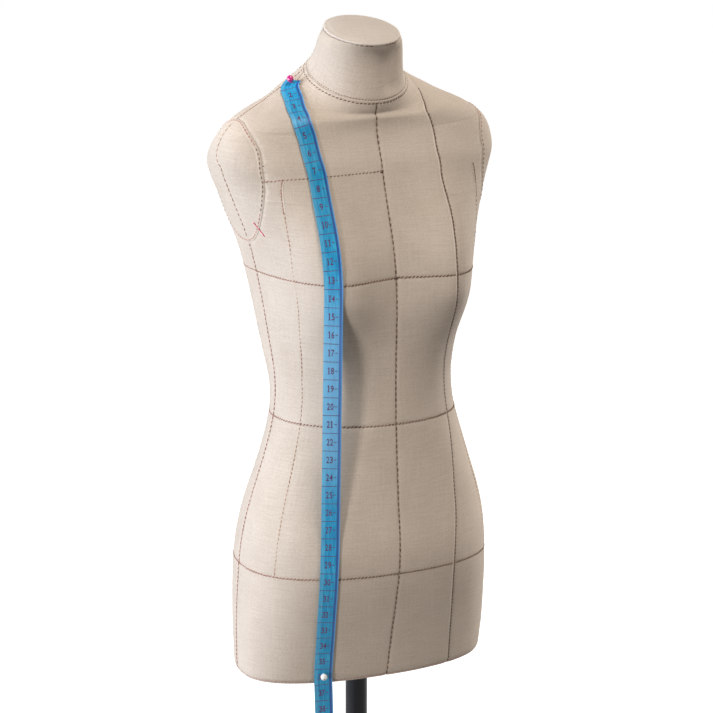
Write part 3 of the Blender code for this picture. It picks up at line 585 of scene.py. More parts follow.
def surface(phi, s, extra=0.0):
    """The finished cloth face: the body plus seams drawn in, stitched lines and unevenness."""
    p, n = body(phi, s), body_normal(phi, s)
    depth = np.zeros(p.shape[:-1]) + extra
    for line in (HIP_S, WAIST_S, BUST_S):
        d = np.abs(s - line)
        depth = depth + 0.22 * np.exp(-(d / 0.8) ** 2) + 0.06 * np.exp(-(d / 2.6) ** 2)
        depth = depth - 0.03 * np.exp(-((d - 2.2) / 1.2) ** 2)
        depth = depth + 0.06 * ripple(p, 5.5, 3) * np.exp(-(d / 4.0) ** 2)
    d = np.abs(s - 1.8)
    depth = depth + 0.18 * np.exp(-(d / 0.7) ** 2)
    depth = depth + np.where(s < 0.8, ((0.8 - s) / 0.8) ** 2 * 0.35, 0.0)
    depth = depth - 0.14 * ripple(p, 46.0, 5) - 0.05 * ripple(p, 17.0, 6)
    return p - n * depth[..., None]


def columns(width, count=24):
    """Fractions across a panel, closer together at both seams. width in mm, an array."""
    w = np.maximum(width, 9.0)[:, None]
    e = np.array([0, 0.10, 0.28, 0.55, 0.95, 1.5, 2.2, 3.1])
    left = e[None] / w
    inner = np.linspace(0, 1, count + 2)[None, 1:-1]
    a, b = left[:, -1:], 1 - left[:, -1:]
    mid = a + (b - a) * inner
    return np.concatenate([left, mid, 1 - left[:, ::-1]], 1)


def solve(target, phi, s, side):
    """Angles and distances whose body point has the target's y and z, on the side of the starting angles; side is not
    used.
    """
    for _ in range(14):
        p = body(phi, s)
        e = target - p[..., 1:]
        a = (body(phi + 0.05, s) - p)[..., 1:] / 0.05
        b = (body(phi, s + 0.05) - p)[..., 1:] / 0.05
        det = a[..., 0] * b[..., 1] - a[..., 1] * b[..., 0]
        det = np.where(np.abs(det) < 1e-6, 1e-6, det)
        dphi = (e[..., 0] * b[..., 1] - e[..., 1] * b[..., 0]) / det
        ds = (a[..., 0] * e[..., 1] - a[..., 1] * e[..., 0]) / det
        phi = phi + np.clip(dphi, -8, 8)
        s = np.clip(s + np.clip(ds, -8, 8), 200.0, 352.0)
    return phi, s


def oval_point(t, scale=1.0):
    cy, cz, w, h, n = ARMHOLE
    r = (np.abs(np.cos(t)) ** n + np.abs(np.sin(t)) ** n) ** (-1 / n) * scale
    return np.stack([cy + LEAN_Y + w * r * np.cos(t), cz + HEM_Z + h * r * np.sin(t)], -1)


PANELS = ("cover_back_right", "cover_side_back_right", "cover_side_front_right",
          "cover_front_right", "cover_front_left", "cover_side_front_left",
          "cover_side_back_left", "cover_back_left")


def seam_angles(s):
    f, fr, c, b = front_seam(s), front_seam_right(s), side_seam(s), back_seam(s)
    z = np.zeros_like(s)
    return [z - 270.0, -180 - b, -180 - c, -180 - fr, z - 90.0, f, c, b, z + 90.0]


for k, name in enumerate(PANELS):
    s = ROWS
    ang = seam_angles(s)
    lo, hi = ang[k], ang[k + 1]
    width = (hi - lo) * mm_per_turn(0.5 * (lo + hi), s)
    frac = columns(width)
    R, C = frac.shape
    phi = lo[:, None] + (hi - lo)[:, None] * frac
    S = np.repeat(s[:, None], C, 1)
    d_edge = np.minimum(frac, 1 - frac) * width[:, None]
    narrow = ease((width - 3.0) / 8.0)[:, None]
    depth = seam_depth(d_edge) * (0.35 + 0.65 * narrow)
    P0 = body(phi, S)
    holes = "side" in name
    drop = np.zeros((R, C), bool)
    if holes:
        od = oval_dist(P0)
        drop = od < 0
        near = (S > 200) & (S < 352)
        drop &= near
        keep_face = ~(drop[:-1, :-1] | drop[:-1, 1:] | drop[1:, :-1] | drop[1:, 1:])
        mixed = np.zeros((R, C), bool)
        for a in (slice(0, -1), slice(1, None)):
            for b in (slice(0, -1), slice(1, None)):
                mixed[a, b] |= ~keep_face
        edge = mixed & ~drop
        cy, cz, w_, h_, n_ = ARMHOLE
        dy, dz = P0[..., 1] - cy - LEAN_Y, P0[..., 2] - cz - HEM_Z
        f = ((np.abs(dy) / w_) ** n_ + (np.abs(dz) / h_) ** n_) ** (1 / n_)
        tgt = np.stack([cy + LEAN_Y + dy / f, cz + HEM_Z + dz / f], -1)
        seam_col = np.zeros((R, C), bool)
        seam_col[:, 0] = seam_col[:, -1] = True
        e = edge
        ph2, s2 = solve(tgt[e], phi[e], S[e], 0)
        phi[e], S[e] = ph2, s2
        od[e] = 0.0
        depth = np.maximum(depth, np.where(near & (od < 12), seam_depth(np.maximum(od, 0)) * 0.4, 0))
        P0 = body(phi, S)
    pucker = 0.09 * ripple(P0, 6.0, 11) * np.exp(-(d_edge / 3.5) ** 2)
    P = surface(phi, S, depth + pucker)
    # the dart's soft fold, on the side front panels
    if "side_front" in name:
        a = dart_line(S)
        a = np.where(k < 4, -180 - a, a)
        dd = (phi - a) * mm_per_turn(a, S) * (1 if k < 4 else -1)
        on = ease((S - 60) / 8) * ease((299 - S) / 6)
        P = P + body_normal(phi, S) * (on * (0.12 * np.exp(-((dd + 0.9) / 1.0) ** 2)
                                             - 0.14 * np.exp(-((dd - 0.5) / 0.9) ** 2)))[..., None]
    # lengths across and up the cloth, for the weave
    mid = C // 2
    du = np.linalg.norm(np.diff(P0, axis=1), axis=-1)
    U = np.concatenate([np.zeros((R, 1)), np.cumsum(du, 1)], 1)
    U = U - U[:, mid:mid + 1]
    path = P0[:, mid]
    V = np.concatenate([[0], np.cumsum(np.linalg.norm(np.diff(path, axis=0), axis=1))])
    V = np.repeat(V[:, None], C, 1)
    faces = grid_faces(R, C)
    if holes:
        faces = faces[keep_face.ravel()]
    used = np.unique(faces)
    remap = -np.ones(R * C, int)
    remap[used] = np.arange(len(used))
    ob = mesh(name + "_cloth", P.reshape(-1, 3)[used], remap[faces], CLOTH,
              np.stack([U, V], -1).reshape(-1, 2)[used])
    thicken(ob, 1.0)
    done(ob, "torso", "cloth", name)

# ---- arm plates: ovals let into the armholes ---------------------------------------
for word, side in (("left", 1), ("right", -1)):
    rr = np.concatenate([np.linspace(0.03, 0.86, 22), [0.895, 0.925, 0.95, 0.97, 0.983, 0.992, 0.9985]])
    tt = np.arange(120) * 2 * math.pi / 120
    T = oval_point(tt[None, :], rr[:, None])
    centre = oval_point(np.array([0.0]), 0.0)
    phi = np.where(side > 0, 0.0, -180.0) + np.zeros(T.shape[:-1])
    S = np.full(T.shape[:-1], 290.0) + (T[..., 1] - 636.0)
    phi, S = solve(T, phi, np.clip(S, 215, 345), side)
    P0 = body(phi, S)
    od = -oval_dist(P0)
    depth = seam_depth(np.maximum(od, 0)) * 0.4
    cseam = np.where(side > 0, side_seam(S), -180 - side_seam(S))
    dseam = np.abs((phi - cseam) * mm_per_turn(cseam, S))
    depth = depth + 0.16 * np.exp(-(dseam / 0.7) ** 2) + 0.04 * np.exp(-(dseam / 2.5) ** 2)
    P = surface(phi, S, depth + 0.08)
    c_phi, c_s = solve(centre, np.array([0.0 if side > 0 else -180.0]), np.array([290.0]), side)
    Pc = surface(c_phi, c_s, np.array([0.08]))
    n = len(rr) * 120
    faces = [list(f) for f in grid_faces(len(rr), 120, closed=True)]
    faces += [[n, (j + 1) % 120, j] for j in range(120)]
    uv = np.concatenate([T.reshape(-1, 2), centre.reshape(-1, 2)])
    ob = mesh("arm_plate_%s_cloth" % word, np.concatenate([P.reshape(-1, 3), Pc]), faces, CLOTH, uv)
    fix_normals(ob)
    # outer side must face away from the body
    me = ob.data
    if sum(pl.normal.x for pl in me.polygons) * side < 0:
        me.flip_normals()
    thicken(ob, 1.0)
    done(ob, "torso", "cloth", "arm_plate_" + word)

# ---- neck ---------------------------------------------------------------------------
rows = np.unique(np.round(np.concatenate([[385.1, 385.3, 385.7, 386.2, 387.0], np.arange(388, 424.4, 1.2),
                                          [422.6, 423.2, 423.8, 424.3, 424.7, 425.0]]), 2))
ph = np.arange(0, 360, 2.0) - 180
PH, S = np.meshgrid(ph, rows)
P0 = body(PH, S)
depth = 0.75 * np.exp(-((S - 385.1) / 0.6)) + 0.35 * np.exp(-((S - 424.0) / 0.5) ** 2)
# the neck's cover is drawn to the cap: soft upright hollows, strongest at the front right
depth = depth + 0.10 * ripple(P0, 13.0, 21) + 0.07 * ripple(P0 * np.array([1, 1, 0.25]), 7.0, 22)
lean_ph = PH + 70 + (S - 400) * 0.25
depth = depth + 1.75 * np.exp(-(lean_ph / 15.0) ** 2) * ease((S - 386) / 7) * ease((425 - S) / 12)
depth = depth - 0.45 * np.exp(-((lean_ph - 32) / 11.0) ** 2) * ease((S - 386) / 8) * ease((425 - S) / 12)
depth = depth + np.where(S > 424.4, (S - 424.4) * 0.5, 0)
P = P0 - body_normal(PH, S) * depth[..., None]
du = np.linalg.norm(P0 - np.roll(P0, 1, 1), axis=-1)
U = np.cumsum(du, 1)
V = np.repeat((rows - 385)[:, None], len(ph), 1)
ob = mesh("neck_cloth", P.reshape(-1, 3), grid_faces(len(rows), len(ph), closed=True), CLOTH,
          np.stack([U, V], -1).reshape(-1, 2))
thicken(ob, 1.0)
done(ob, "torso", "cloth", "neck_cover")

# ---- neck cap --------------------------------------------------------------------------
v = station(np.array(TOP_S))
z, tilt, a_top, yf, yb, yc = (float(v[i]) for i in range(6))
t = math.radians(tilt)
cap_c = np.array([0, yc + LEAN_Y + 0.5 * (yf + yb - 2 * yc) * math.cos(t),
                  HEM_Z + z + 0.5 * (yf + yb - 2 * yc) * math.sin(t)])
cap_x, cap_y = a_top, 0.5 * (yb - yf)
ex, ey, eu = np.array([1.0, 0, 0]), np.array([0, math.cos(t), math.sin(t)]), np.array([0, -math.sin(t), math.cos(t)])


def cap_point(inset, up, a):
    return (cap_c + ex * ((cap_x - inset) * np.cos(a))[..., None]
            + ey * ((cap_y - inset) * np.sin(a))[..., None] + eu * np.asarray(up)[..., None])


prof = [(1.2, -0.3), (0.3, -0.15), (-0.1, 0.05), (-0.25, 0.35), (-0.27, 0.65), (-0.12, 0.92), (0.25, 1.14),
        (0.8, 1.29), (1.5, 1.40), (2.4, 1.56)]
for d in np.linspace(3.4, 20.6, 26):
    prof.append((d, 1.35 + 1.8 * (1 - ((21 - d) / 21) ** 2.4)))
aa = np.arange(0, 144) * 2 * math.pi / 144
ins = np.array([q[0] for q in prof])[:, None] + np.zeros((1, 144))
up = np.array([q[1] for q in prof])[:, None] + np.zeros((1, 144))
A = aa[None, :] + np.zeros((len(prof), 1))
P = cap_point(ins, up, A)
sag = 0.10 * ripple(P, 16.0, 31) * ease((ins - 1) / 4)
P = P + eu * sag[..., None]
centre = P[-1].mean(0, keepdims=True)
faces = [list(f) for f in grid_faces(len(prof), 144, closed=True)]
n = len(prof) * 144
faces += [[n, (len(prof) - 1) * 144 + j, (len(prof) - 1) * 144 + (j + 1) % 144] for j in range(144)]
faces.append(list(range(144))[::-1])
Puv = np.stack([((cap_x - ins) * np.cos(A)), ((cap_y - ins) * np.sin(A))], -1).reshape(-1, 2)
ob = mesh("neck_cap_cloth", np.concatenate([P.reshape(-1, 3), centre]), faces, CAP_CLOTH_PAINTED_LIGHTER,
          np.concatenate([Puv, [[0, 0]]]))
fix_normals(ob)
done(ob, "torso", "cap_cloth", "neck_cap")

# ---- cloth under the body, round the pole socket -----------------------------------------
rings = []
tt = np.arange(160) * 360.0 / 160 - 180
outer = body(tt, np.full(160, 2.2)) - body_normal(tt, np.full(160, 2.2)) * 1.5
ratio = np.linspace(0, 1, 26)
hole_r = 8.5
rows3 = []
for f in ratio:
    inner = np.stack([hole_r * np.cos(np.radians(tt)), hole_r * np.sin(np.radians(tt))], -1)
    xy = inner * (1 - f) + outer[:, :2] * f
    r = np.hypot(xy[:, 0], xy[:, 1])
    flat = np.clip((r - 27) / 12, 0, 1)
    zz = 350.35 - 0.0 * flat + 0.0 * r
    p = np.stack([xy[:, 0], xy[:, 1], zz], -1)
    p[:, 2] += 0.25 * flat * (0.6 + 0.5 * ripple(p, 14.0, 41)) * (1 - f ** 6) + 0.35 * f ** 8
    rows3.append(p)
P = np.array(rows3)
ob = mesh("under_cloth", P.reshape(-1, 3), grid_faces(26, 160, closed=True, flip=True), LINING,
          P[..., :2].reshape(-1, 2))
m = thicken(ob, 0.8)
if sum(pl.normal.z for pl in ob.data.polygons) > 0:
    ob.data.flip_normals()
done(ob, "torso", "cloth", "bottom_cover")


# =============================================================================
# stitches and folded edges, all laid on the body's surface
# =============================================================================
def resample(phi, s, pitch):
    """Even points along a line on the body: centres, directions, normals."""
    f = np.linspace(0, 1, 6 * max(len(phi), 40))
    x = np.linspace(0, 1, len(phi))
    ph2, s2 = np.interp(f, x, phi), np.interp(f, x, s)
    p = body(ph2, s2)
    L = np.concatenate([[0], np.cumsum(np.linalg.norm(np.diff(p, axis=0), axis=1))])
    n = max(int(L[-1] / pitch), 1)
    at = (np.arange(n) + 0.5) * L[-1] / n
    pc, sc = np.interp(at, L, ph2), np.interp(at, L, s2)
    q = body(pc, sc)
    qa = body(np.interp(at + 0.3, L, ph2), np.interp(at + 0.3, L, s2))
    qb = body(np.interp(at - 0.3, L, ph2), np.interp(at - 0.3, L, s2))
    return q, unit(qa - qb), body_normal(pc, sc), at, L[-1]


def capsule(rings=6, sides=6):
    xs = np.array([-0.5, -0.42, -0.18, 0.18, 0.42, 0.5])
    rs = np.array([0.18, 0.72, 1.0, 1.0, 0.72, 0.18])
    a = np.arange(sides) * 2 * math.pi / sides
    v = np.array([(x, r * math.cos(q), r * math.sin(q)) for x, r in zip(xs, rs) for q in a])
    f = [list(q) for q in grid_faces(rings, sides, closed=True)]
    f += [list(range(sides))[::-1], list(range((rings - 1) * sides, rings * sides))]
    return v, f


CAPSULE_V, CAPSULE_F = capsule()


def stitches(name, lines, mat, pitch=1.8, length=1.35, radius=0.2, slant=0.0, lift=0.0, flat=0.7,
             seed=1, dip=0.16, uneven=0.08):
    """Rows of single stitches. lines: (angles, distances up, sideways shift in mm)."""
    rng = np.random.RandomState(seed)
    V, F = [], []
    count = 0
    for line in lines:
        phi, s, shift = (list(line) + [0.0])[:3] if len(line) == 2 else line
        q, d, n, at, L = resample(np.asarray(phi, float), np.asarray(s, float), pitch)
        side = unit(np.cross(n, d))
        k = len(q)
        sl = math.radians(slant) + rng.normal(0, uneven, k)
        dd = d * np.cos(sl)[:, None] + side * np.sin(sl)[:, None]
        ss = unit(np.cross(n, dd))
        ln = length * (1 + rng.normal(0, 0.05, k))
        q = q + side * (shift + rng.normal(0, 0.05, k))[:, None] + n * lift
        v = CAPSULE_V
        x = v[None, :, 0] * ln[:, None]
        drop = dip * (2 * v[None, :, 0]) ** 2
        pts = (q[:, None] + dd[:, None] * x[..., None] + ss[:, None] * (v[None, :, 1] * radius)[..., None]
               + n[:, None] * (v[None, :, 2] * radius * flat - drop)[..., None])
        V.append(pts.reshape(-1, 3))
        for i in range(k):
            F += [[a + count for a in f] for f in CAPSULE_F]
            count += len(v)
    ob = mesh(name, np.concatenate(V), F, mat)
    return done(ob, "torso", "cloth")


def welt(name, lines, width=1.2, height=0.28, mat=None, sink=0.5):
    """A folded cloth edge: a low rounded ridge along a line. lines: (phi, s, shift)."""
    V, F, UV, count = [], [], [], 0
    for phi, s, shift in lines:
        q, d, n, at, L = resample(np.asarray(phi, float), np.asarray(s, float), 1.1)
        side = unit(np.cross(n, d))
        k = len(q)
        taper = np.clip(np.minimum(at, L - at) / 2.5, 0.05, 1)
        h = height * taper * (1 + 0.12 * ripple(q, 4.0, 51))
        cross = [(-0.5, -sink), (-0.5, -0.05), (-0.42, 0.45), (-0.22, 0.88), (0.0, 1.0), (0.22, 0.88),
                 (0.42, 0.45), (0.5, -0.05), (0.5, -sink)]
        for u, hh in cross:
            up = np.where(hh > 0, hh * h, hh)
            V.append(q + side * (shift + u * width) + n * (up * np.ones(k))[:, None])
        m = len(cross)
        block = np.stack(V[-m:], 1).reshape(-1, 3)
        V[-m:] = [block]
        F += [[a + count for a in f] for f in grid_faces(k, m, closed=True).tolist()]
        F.append([count + j for j in range(m)][::-1])
        F.append([count + (k - 1) * m + j for j in range(m)])
        UV.append(np.stack([np.tile([c[0] * width * 1.2 for c in cross], k), np.repeat(at, m)], -1))
        count += k * m
    ob = mesh(name, np.concatenate(V), F, mat or WELT, np.concatenate(UV), sharp=60)
    fix_normals(ob)
    return done(ob, "torso", "cloth")


def along(table, s0, s1, right, n=160):
    s = np.linspace(s0, s1, n)
    a = table(s)
    return (-180 - a if right else a), s


full = np.linspace(-270, 90, 721)
# twisted guide cords at hips, waist and bust
for word, s0 in (("hip", HIP_S), ("waist", WAIST_S), ("bust", BUST_S)):
    stitches(word + "_line_stitches", [(full, np.full(721, s0), 0.0)], THREAD, pitch=2.15,
             length=2.15, radius=0.40, slant=22, lift=-0.06, flat=0.7, seed=7, dip=0.22)
stitches("chest_line_stitches", [([c[0] for c in CHEST], [c[1] for c in CHEST], 0.0)], THREAD,
         pitch=2.2, length=2.0, radius=0.38, slant=16, lift=0.04, seed=8, dip=0.22)
stitches("chest_line_knot", [([-91.3, -90.2], [298.5, 298.5], 0.0), ([-90.6, -90.6], [297.6, 299.6], 0.0)],
         THREAD, pitch=1.2, length=1.9, radius=0.45, slant=40, lift=0.12, seed=28)
stitches("hem_stitches", [(full, np.full(721, 1.9), 0.0)], THREAD_RED, pitch=2.0, length=1.5,
         radius=0.24, lift=-0.02, seed=9)

# seams: one row of stitches beside each seam
cf_s = np.linspace(1.5, 383.0, 400)
stitches("centre_front_stitches", [(np.full(400, -90.0), cf_s, 0.25)], THREAD, pitch=3.3,
         length=2.4, radius=0.34, lift=-0.04, flat=0.65, seed=10, uneven=0.10)
stitches("centre_back_stitches", [(np.full(400, 90.0), cf_s, -0.25)], THREAD, pitch=3.3,
         length=2.5, radius=0.40, lift=-0.04, flat=0.65, seed=11, uneven=0.12)
for word, right in (("left", False), ("right", True)):
    sg = 1 if right else -1
    table_f = front_seam_right if right else front_seam
    a, s = along(table_f, 1.5, 376.0, right, 400)
    stitches("princess_front_stitches_" + word, [(a, s, 0.2 * sg)], THREAD, pitch=2.3, length=2.0,
             radius=0.34, lift=-0.06, flat=0.65, seed=12)
    welt("princess_front_fold_" + word, [(a, s, -0.95 * sg)], 0.9, 0.07)
    a, s = along(back_seam, 1.5, 381.0, right, 400)
    stitches("princess_back_stitches_" + word, [(a, s, 0.2 * sg)], THREAD, pitch=2.3, length=2.0,
             radius=0.38, lift=-0.06, flat=0.65, seed=13)
    welt("princess_back_fold_" + word, [(a, s, -0.95 * sg)], 0.9, 0.07)
    a, s = along(dart_line, 64.0, 297.0, right, 300)
    stitches("side_dart_stitches_" + word, [(a, s, 0.3 * sg)], THREAD_ORANGE, pitch=2.5,
             length=2.0, radius=0.30, lift=0.0, flat=0.65, seed=14)
    a, s = along(dart_line, 272.0, 297.0, right, 60)
    stitches("side_dart_tack_" + word, [(a, s, 0.5 * sg)], THREAD, pitch=1.7,
             length=1.8, radius=0.36, lift=0.05, flat=0.65, seed=15)
    welt("side_dart_fold_" + word, [(a, s, -0.55 * sg)], 0.9, 0.14)
    # side seam, below and across the arm plate
    a, s = along(side_seam, 1.5, 262.0, right, 300)
    below = body(a, s)[:, 2] < (ARMHOLE[1] - ARMHOLE[3] + HEM_Z - 1.5)
    stitches("side_seam_stitches_" + word, [(a[below], s[below], 0.3)], THREAD_RED, pitch=2.6,
             length=1.8, radius=0.24, lift=-0.03, flat=0.65, seed=16)
    a, s = along(side_seam, 240.0, 345.0, right, 300)
    zz = body(a, s)[:, 2] - HEM_Z
    on = (zz > ARMHOLE[1] - ARMHOLE[3] + 2) & (zz < ARMHOLE[1] + ARMHOLE[3] - 1.5)
    stitches("arm_plate_stitches_" + word, [(a[on], s[on], 0.25)], THREAD_ORANGE, pitch=3.0,
             length=2.1, radius=0.29, lift=-0.03, seed=17)
    # shoulder seam
    a2, s2 = along(side_seam, 300.0, 383.5, right, 300)
    z2 = body(a2, s2)[:, 2] - HEM_Z
    above = z2 > ARMHOLE[1] + ARMHOLE[3] + 0.6
    stitches("shoulder_stitches_" + word, [(a2[above], s2[above], 0.3 * sg)], THREAD, pitch=2.3,
             length=1.9, radius=0.30, lift=-0.06, flat=0.65, seed=18)
    welt("shoulder_fold_" + word, [(a2[above], s2[above], -0.9 * sg)], 0.9, 0.10)
    # armhole
    tt = np.linspace(0, 2 * math.pi, 241)
    T = oval_point(tt, 1.0)
    ph0 = np.full(241, -180.0 if right else 0.0)
    po, so = solve(T, ph0, np.clip(290.0 + (T[:, 1] - 636.0), 215, 345), 0)
    top = (tt > math.radians(55)) & (tt < math.radians(140))
    low = (tt > math.radians(205)) & (tt < math.radians(320))

    def part(mask):
        idx = np.where(mask)[0]
        return po[idx], so[idx], 0.0

    welt("armhole_fold_" + word, [(po, so, 0.0)], 2.6, 0.09, mat=CLOTH, sink=0.6)
    mid1 = (tt >= math.radians(140)) & (tt <= math.radians(205))
    mid2a = (tt <= math.radians(55))
    mid2b = (tt >= math.radians(320))
    stitches("armhole_stitches_" + word, [part(mid1), part(mid2a), part(mid2b)], THREAD_PLAIN, pitch=2.5,
             length=1.8, radius=0.30, lift=0.16, seed=19)
    stitches("armhole_tacks_" + word, [part(top), part(low)], THREAD_RED, pitch=2.5,
             length=1.9, radius=0.32, lift=0.15, seed=20)

# neck base: a thick lower row, a fold and a finer upper row
stitches("neck_base_stitches", [(full, np.full(721, 383.9), 0.0)], THREAD, pitch=2.3, length=1.9,
         radius=0.33, slant=10, lift=-0.02, flat=0.7, seed=23)


def cap_ring_line(inset, up, a0, a1, n=120):
    a = np.radians(np.linspace(a0, a1, n))
    return cap_point(np.full(n, inset), np.full(n, up), a)


def curve_stitches(name, runs, mat, pitch, length, radius, seed=1, sag=0.1, outward=None):
    rng = np.random.RandomState(seed)
    V, F, count = [], [], 0
    for P, N in runs:
        L = np.concatenate([[0], np.cumsum(np.linalg.norm(np.diff(P, axis=0), axis=1))])
        k = max(int(L[-1] / pitch), 1)
        at = (np.arange(k) + 0.5) * L[-1] / k
        f = lambda t: np.stack([np.interp(t, L, P[:, i]) for i in range(3)], -1)
        g = unit(np.stack([np.interp(at, L, N[:, i]) for i in range(3)], -1))
        q, d = f(at), unit(f(at + 0.3) - f(at - 0.3))
        ss = unit(np.cross(g, d))
        v = CAPSULE_V
        ln = length * (1 + rng.normal(0, 0.06, k))
        pts = (q[:, None] + d[:, None] * (v[None, :, 0] * ln[:, None])[..., None]
               + ss[:, None] * (v[None, :, 1] * radius)[..., None]
               + g[:, None] * (v[None, :, 2] * radius * 0.8 - sag * (2 * v[None, :, 0]) ** 2)[..., None])
        V.append(pts.reshape(-1, 3))
        for i in range(k):
            F += [[a + count for a in fc] for fc in CAPSULE_F]
            count += len(v)
    ob = mesh(name, np.concatenate(V), F, mat)
    return ob


# neck: upper row and the fold between the rows, on the neck's own surface
nf = np.full(721, 386.5)
stitches("neck_base_upper_stitches", [(full, nf, 0.0)], THREAD, pitch=1.7, length=1.2,
         radius=0.16, lift=0.0, seed=24)
welt("neck_base_fold", [(full, np.full(721, 385.15), 0.0)], 1.1, 0.10, sink=0.8, mat=CLOTH)
# cap seam: dashes at both front sides, a plain gap between
runs = []
for a0, a1 in ((205, 262), (282, 335), (20, 160)):
    P = cap_ring_line(-0.15, -0.35, a0, a1)
    runs.append((P, unit(P - cap_c - eu * 0)))
ob = curve_stitches("cap_seam_stitches", runs, THREAD_PLAIN, 2.5, 1.8, 0.30, seed=25)
done(ob, "torso", "cap_cloth")

# pink balance mark beside the right armhole
mark = [(-157.3, 264.3), (-155.7, 260.6), (-154.2, 255.8)]
stitches("pink_notch_mark", [([m[0] for m in mark], [m[1] for m in mark], 0.0)], PINK_THREAD,
         pitch=1.7, length=2.3, radius=0.36, lift=0.10, slant=5, seed=26)

# =============================================================================
# tape measure
# =============================================================================
upper = natural_spline(range(len(TAPE_UPPER)), TAPE_UPPER)
lower = natural_spline(range(len(TAPE_LOWER)), TAPE_LOWER)


def tape_path():
    q = upper(np.linspace(0, len(TAPE_UPPER) - 1, 200))
    n = body_normal(q[:, 0], q[:, 1])
    up_p, up_n = body(q[:, 0], q[:, 1]) + n * TAPE_LIFT, n
    q = lower(np.linspace(0, len(TAPE_LOWER) - 1, 80))
    n = body_normal(q[:, 0], q[:, 1])
    lo_p, lo_n = body(q[:, 0], q[:, 1]) + n * TAPE_LIFT, n
    f = np.linspace(0, 1, 80)[1:-1, None]
    hang_p = up_p[-1] * (1 - f) + lo_p[0] * f
    hang_n = unit(up_n[-1] * (1 - f) + lo_n[0] * f)
    P, N = np.concatenate([up_p, hang_p, lo_p]), np.concatenate([up_n, hang_n, lo_n])
    L = np.linalg.norm(np.diff(P, axis=0), axis=1).sum()
    left, steps = TAPE_L - L, 80
    d = unit(P[-1] - P[-2])
    point, pts, nrm, out = P[-1], [], [], N[-1]
    flat_out = unit(np.array([out[0], out[1], 0.0]))
    for i in range(steps):
        d = unit(d + (np.array([0, 0, -1.0]) - d) * 0.09)
        point = point + d * left / steps
        pts.append(point)
        nrm.append(unit(flat_out - d * (flat_out @ d)))
    return np.concatenate([P, pts]), np.concatenate([N, nrm])


TP, TN = tape_path()
TL = np.concatenate([[0], np.cumsum(np.linalg.norm(np.diff(TP, axis=0), axis=1))])


def tape_frame(v):
    """Place, direction, width direction and face normal at v mm along the tape."""
    f = lambda t: np.stack([np.interp(t, TL, TP[:, i]) for i in range(3)], -1)
    p, d = f(v), unit(f(np.minimum(v + 1.5, TL[-1])) - f(np.maximum(v - 1.5, 0)))
    n = np.stack([np.interp(v, TL, TN[:, i]) for i in range(3)], -1)
    n = unit(n - d * (n * d).sum(-1, keepdims=True))
    return p, d, unit(np.cross(n, d)), n


def tape_point(u, v, up):
    """Point on the tape: u mm across from the middle, v along, up above its under face."""
    u, v, up = np.broadcast_arrays(np.asarray(u, float), np.asarray(v, float), np.asarray(up, float))
    shape = u.shape
    p, d, w, n = tape_frame(v.ravel())
    u, up = u.ravel(), up.ravel()
    free = ease((v.ravel() - 125) / 14) * ease((272 - v.ravel()) / 14)
    bend = 0.010 * u ** 2 * free            # its edges curl away a little where it hangs free
    return (p + w * u[:, None] + n * (up - bend * 0.6)[:, None]).reshape(*shape, 3)


# the tape's "across" runs to the viewer's right; check the sign against +X
_, _, w_mid, _ = tape_frame(np.array([250.0]))
SIGN = 1.0 if w_mid[0, 0] > 0 else -1.0
nv, nu = 420, 13
vv = np.linspace(0, TAPE_L, nv)
uu = np.linspace(-TAPE_W / 2, TAPE_W / 2, nu)
lift_edge = 0.0
outer = tape_point(SIGN * uu[None, :], vv[:, None], TAPE_T)
inner = tape_point(SIGN * uu[None, :], vv[:, None], TAPE_T - 0.30)
ring = np.concatenate([outer, inner[:, ::-1]], 1)
m = 2 * nu
faces = grid_faces(nv, m, closed=True).tolist()
faces.append(list(range(m))[::-1])
faces.append([(nv - 1) * m + j for j in range(m)])
uvu = np.concatenate([uu + TAPE_W / 2, (uu + TAPE_W / 2)[::-1]])
uv = np.stack([np.tile(uvu, nv), np.repeat(vv, m)], -1)
tape = mesh("tape", ring.reshape(-1, 3), faces, TAPE, uv, sharp=40)
fix_normals(tape)
done(tape, "torso", "tape", "tape_measure")

CELL, FIRST = 10.237, -2.75
PRINT_UP = TAPE_T + 0.025


def box_on_tape(u0, u1, v0, v1, up=PRINT_UP, t=0.03, n=1):
    us = np.linspace(u0, u1, n + 1)
    top = tape_point(SIGN * us[:, None] - 0, np.array([[v0, v1]]), up)
    low = tape_point(SIGN * us[:, None] - 0, np.array([[v0, v1]]), up - t)
    V = np.concatenate([top.reshape(-1, 3), low.reshape(-1, 3)])
    k = (n + 1) * 2
    F = []
    for i in range(n):
        a, b, c, d = 2 * i, 2 * i + 1, 2 * i + 3, 2 * i + 2
        F += [[a, b, c, d], [k + d, k + c, k + b, k + a]]
        F += [[a, d, k + d, k + a], [b, k + b, k + c, c]]
    F += [[0, k, k + 1, 1], [2 * n, 2 * n + 1, k + 2 * n + 1, k + 2 * n]]
    return V, F


V, F, count = [], [], 0


def add_block(vf):
    global count
    v, f = vf
    V.append(v)
    F.extend([[a + count for a in q] for q in f])
    count += len(v)


BAND_U = TAPE_W / 2 - 2.15
for c in range(1, int(TAPE_L / CELL) + 1):
    v0 = FIRST + c * CELL
    if v0 > TAPE_L - 1:
        break
    add_block(box_on_tape(-TAPE_W / 2 + 0.05, 3.0 if c % 5 else 4.4, v0 - 0.17, v0 + 0.17, n=4))
    add_block(box_on_tape(1.2, 2.7, v0 - CELL / 2 - 0.2, v0 - CELL / 2 + 0.2))
for c in range(2, int(TAPE_L / CELL * 10)):
    v0 = FIRST + c * CELL / 10
    if v0 < 0.5:
        continue
    if v0 > TAPE_L - 1:
        break
    ln = 1.3 if c % 10 == 0 else (1.0 if c % 5 == 0 else 0.6)
    add_block(box_on_tape(4.45 - ln, 4.45, v0 - 0.07, v0 + 0.07))
ticks = mesh("tape_ticks", np.concatenate(V), F, INK, smooth=False)
fix_normals(ticks)
done(ticks, "torso", "tape")


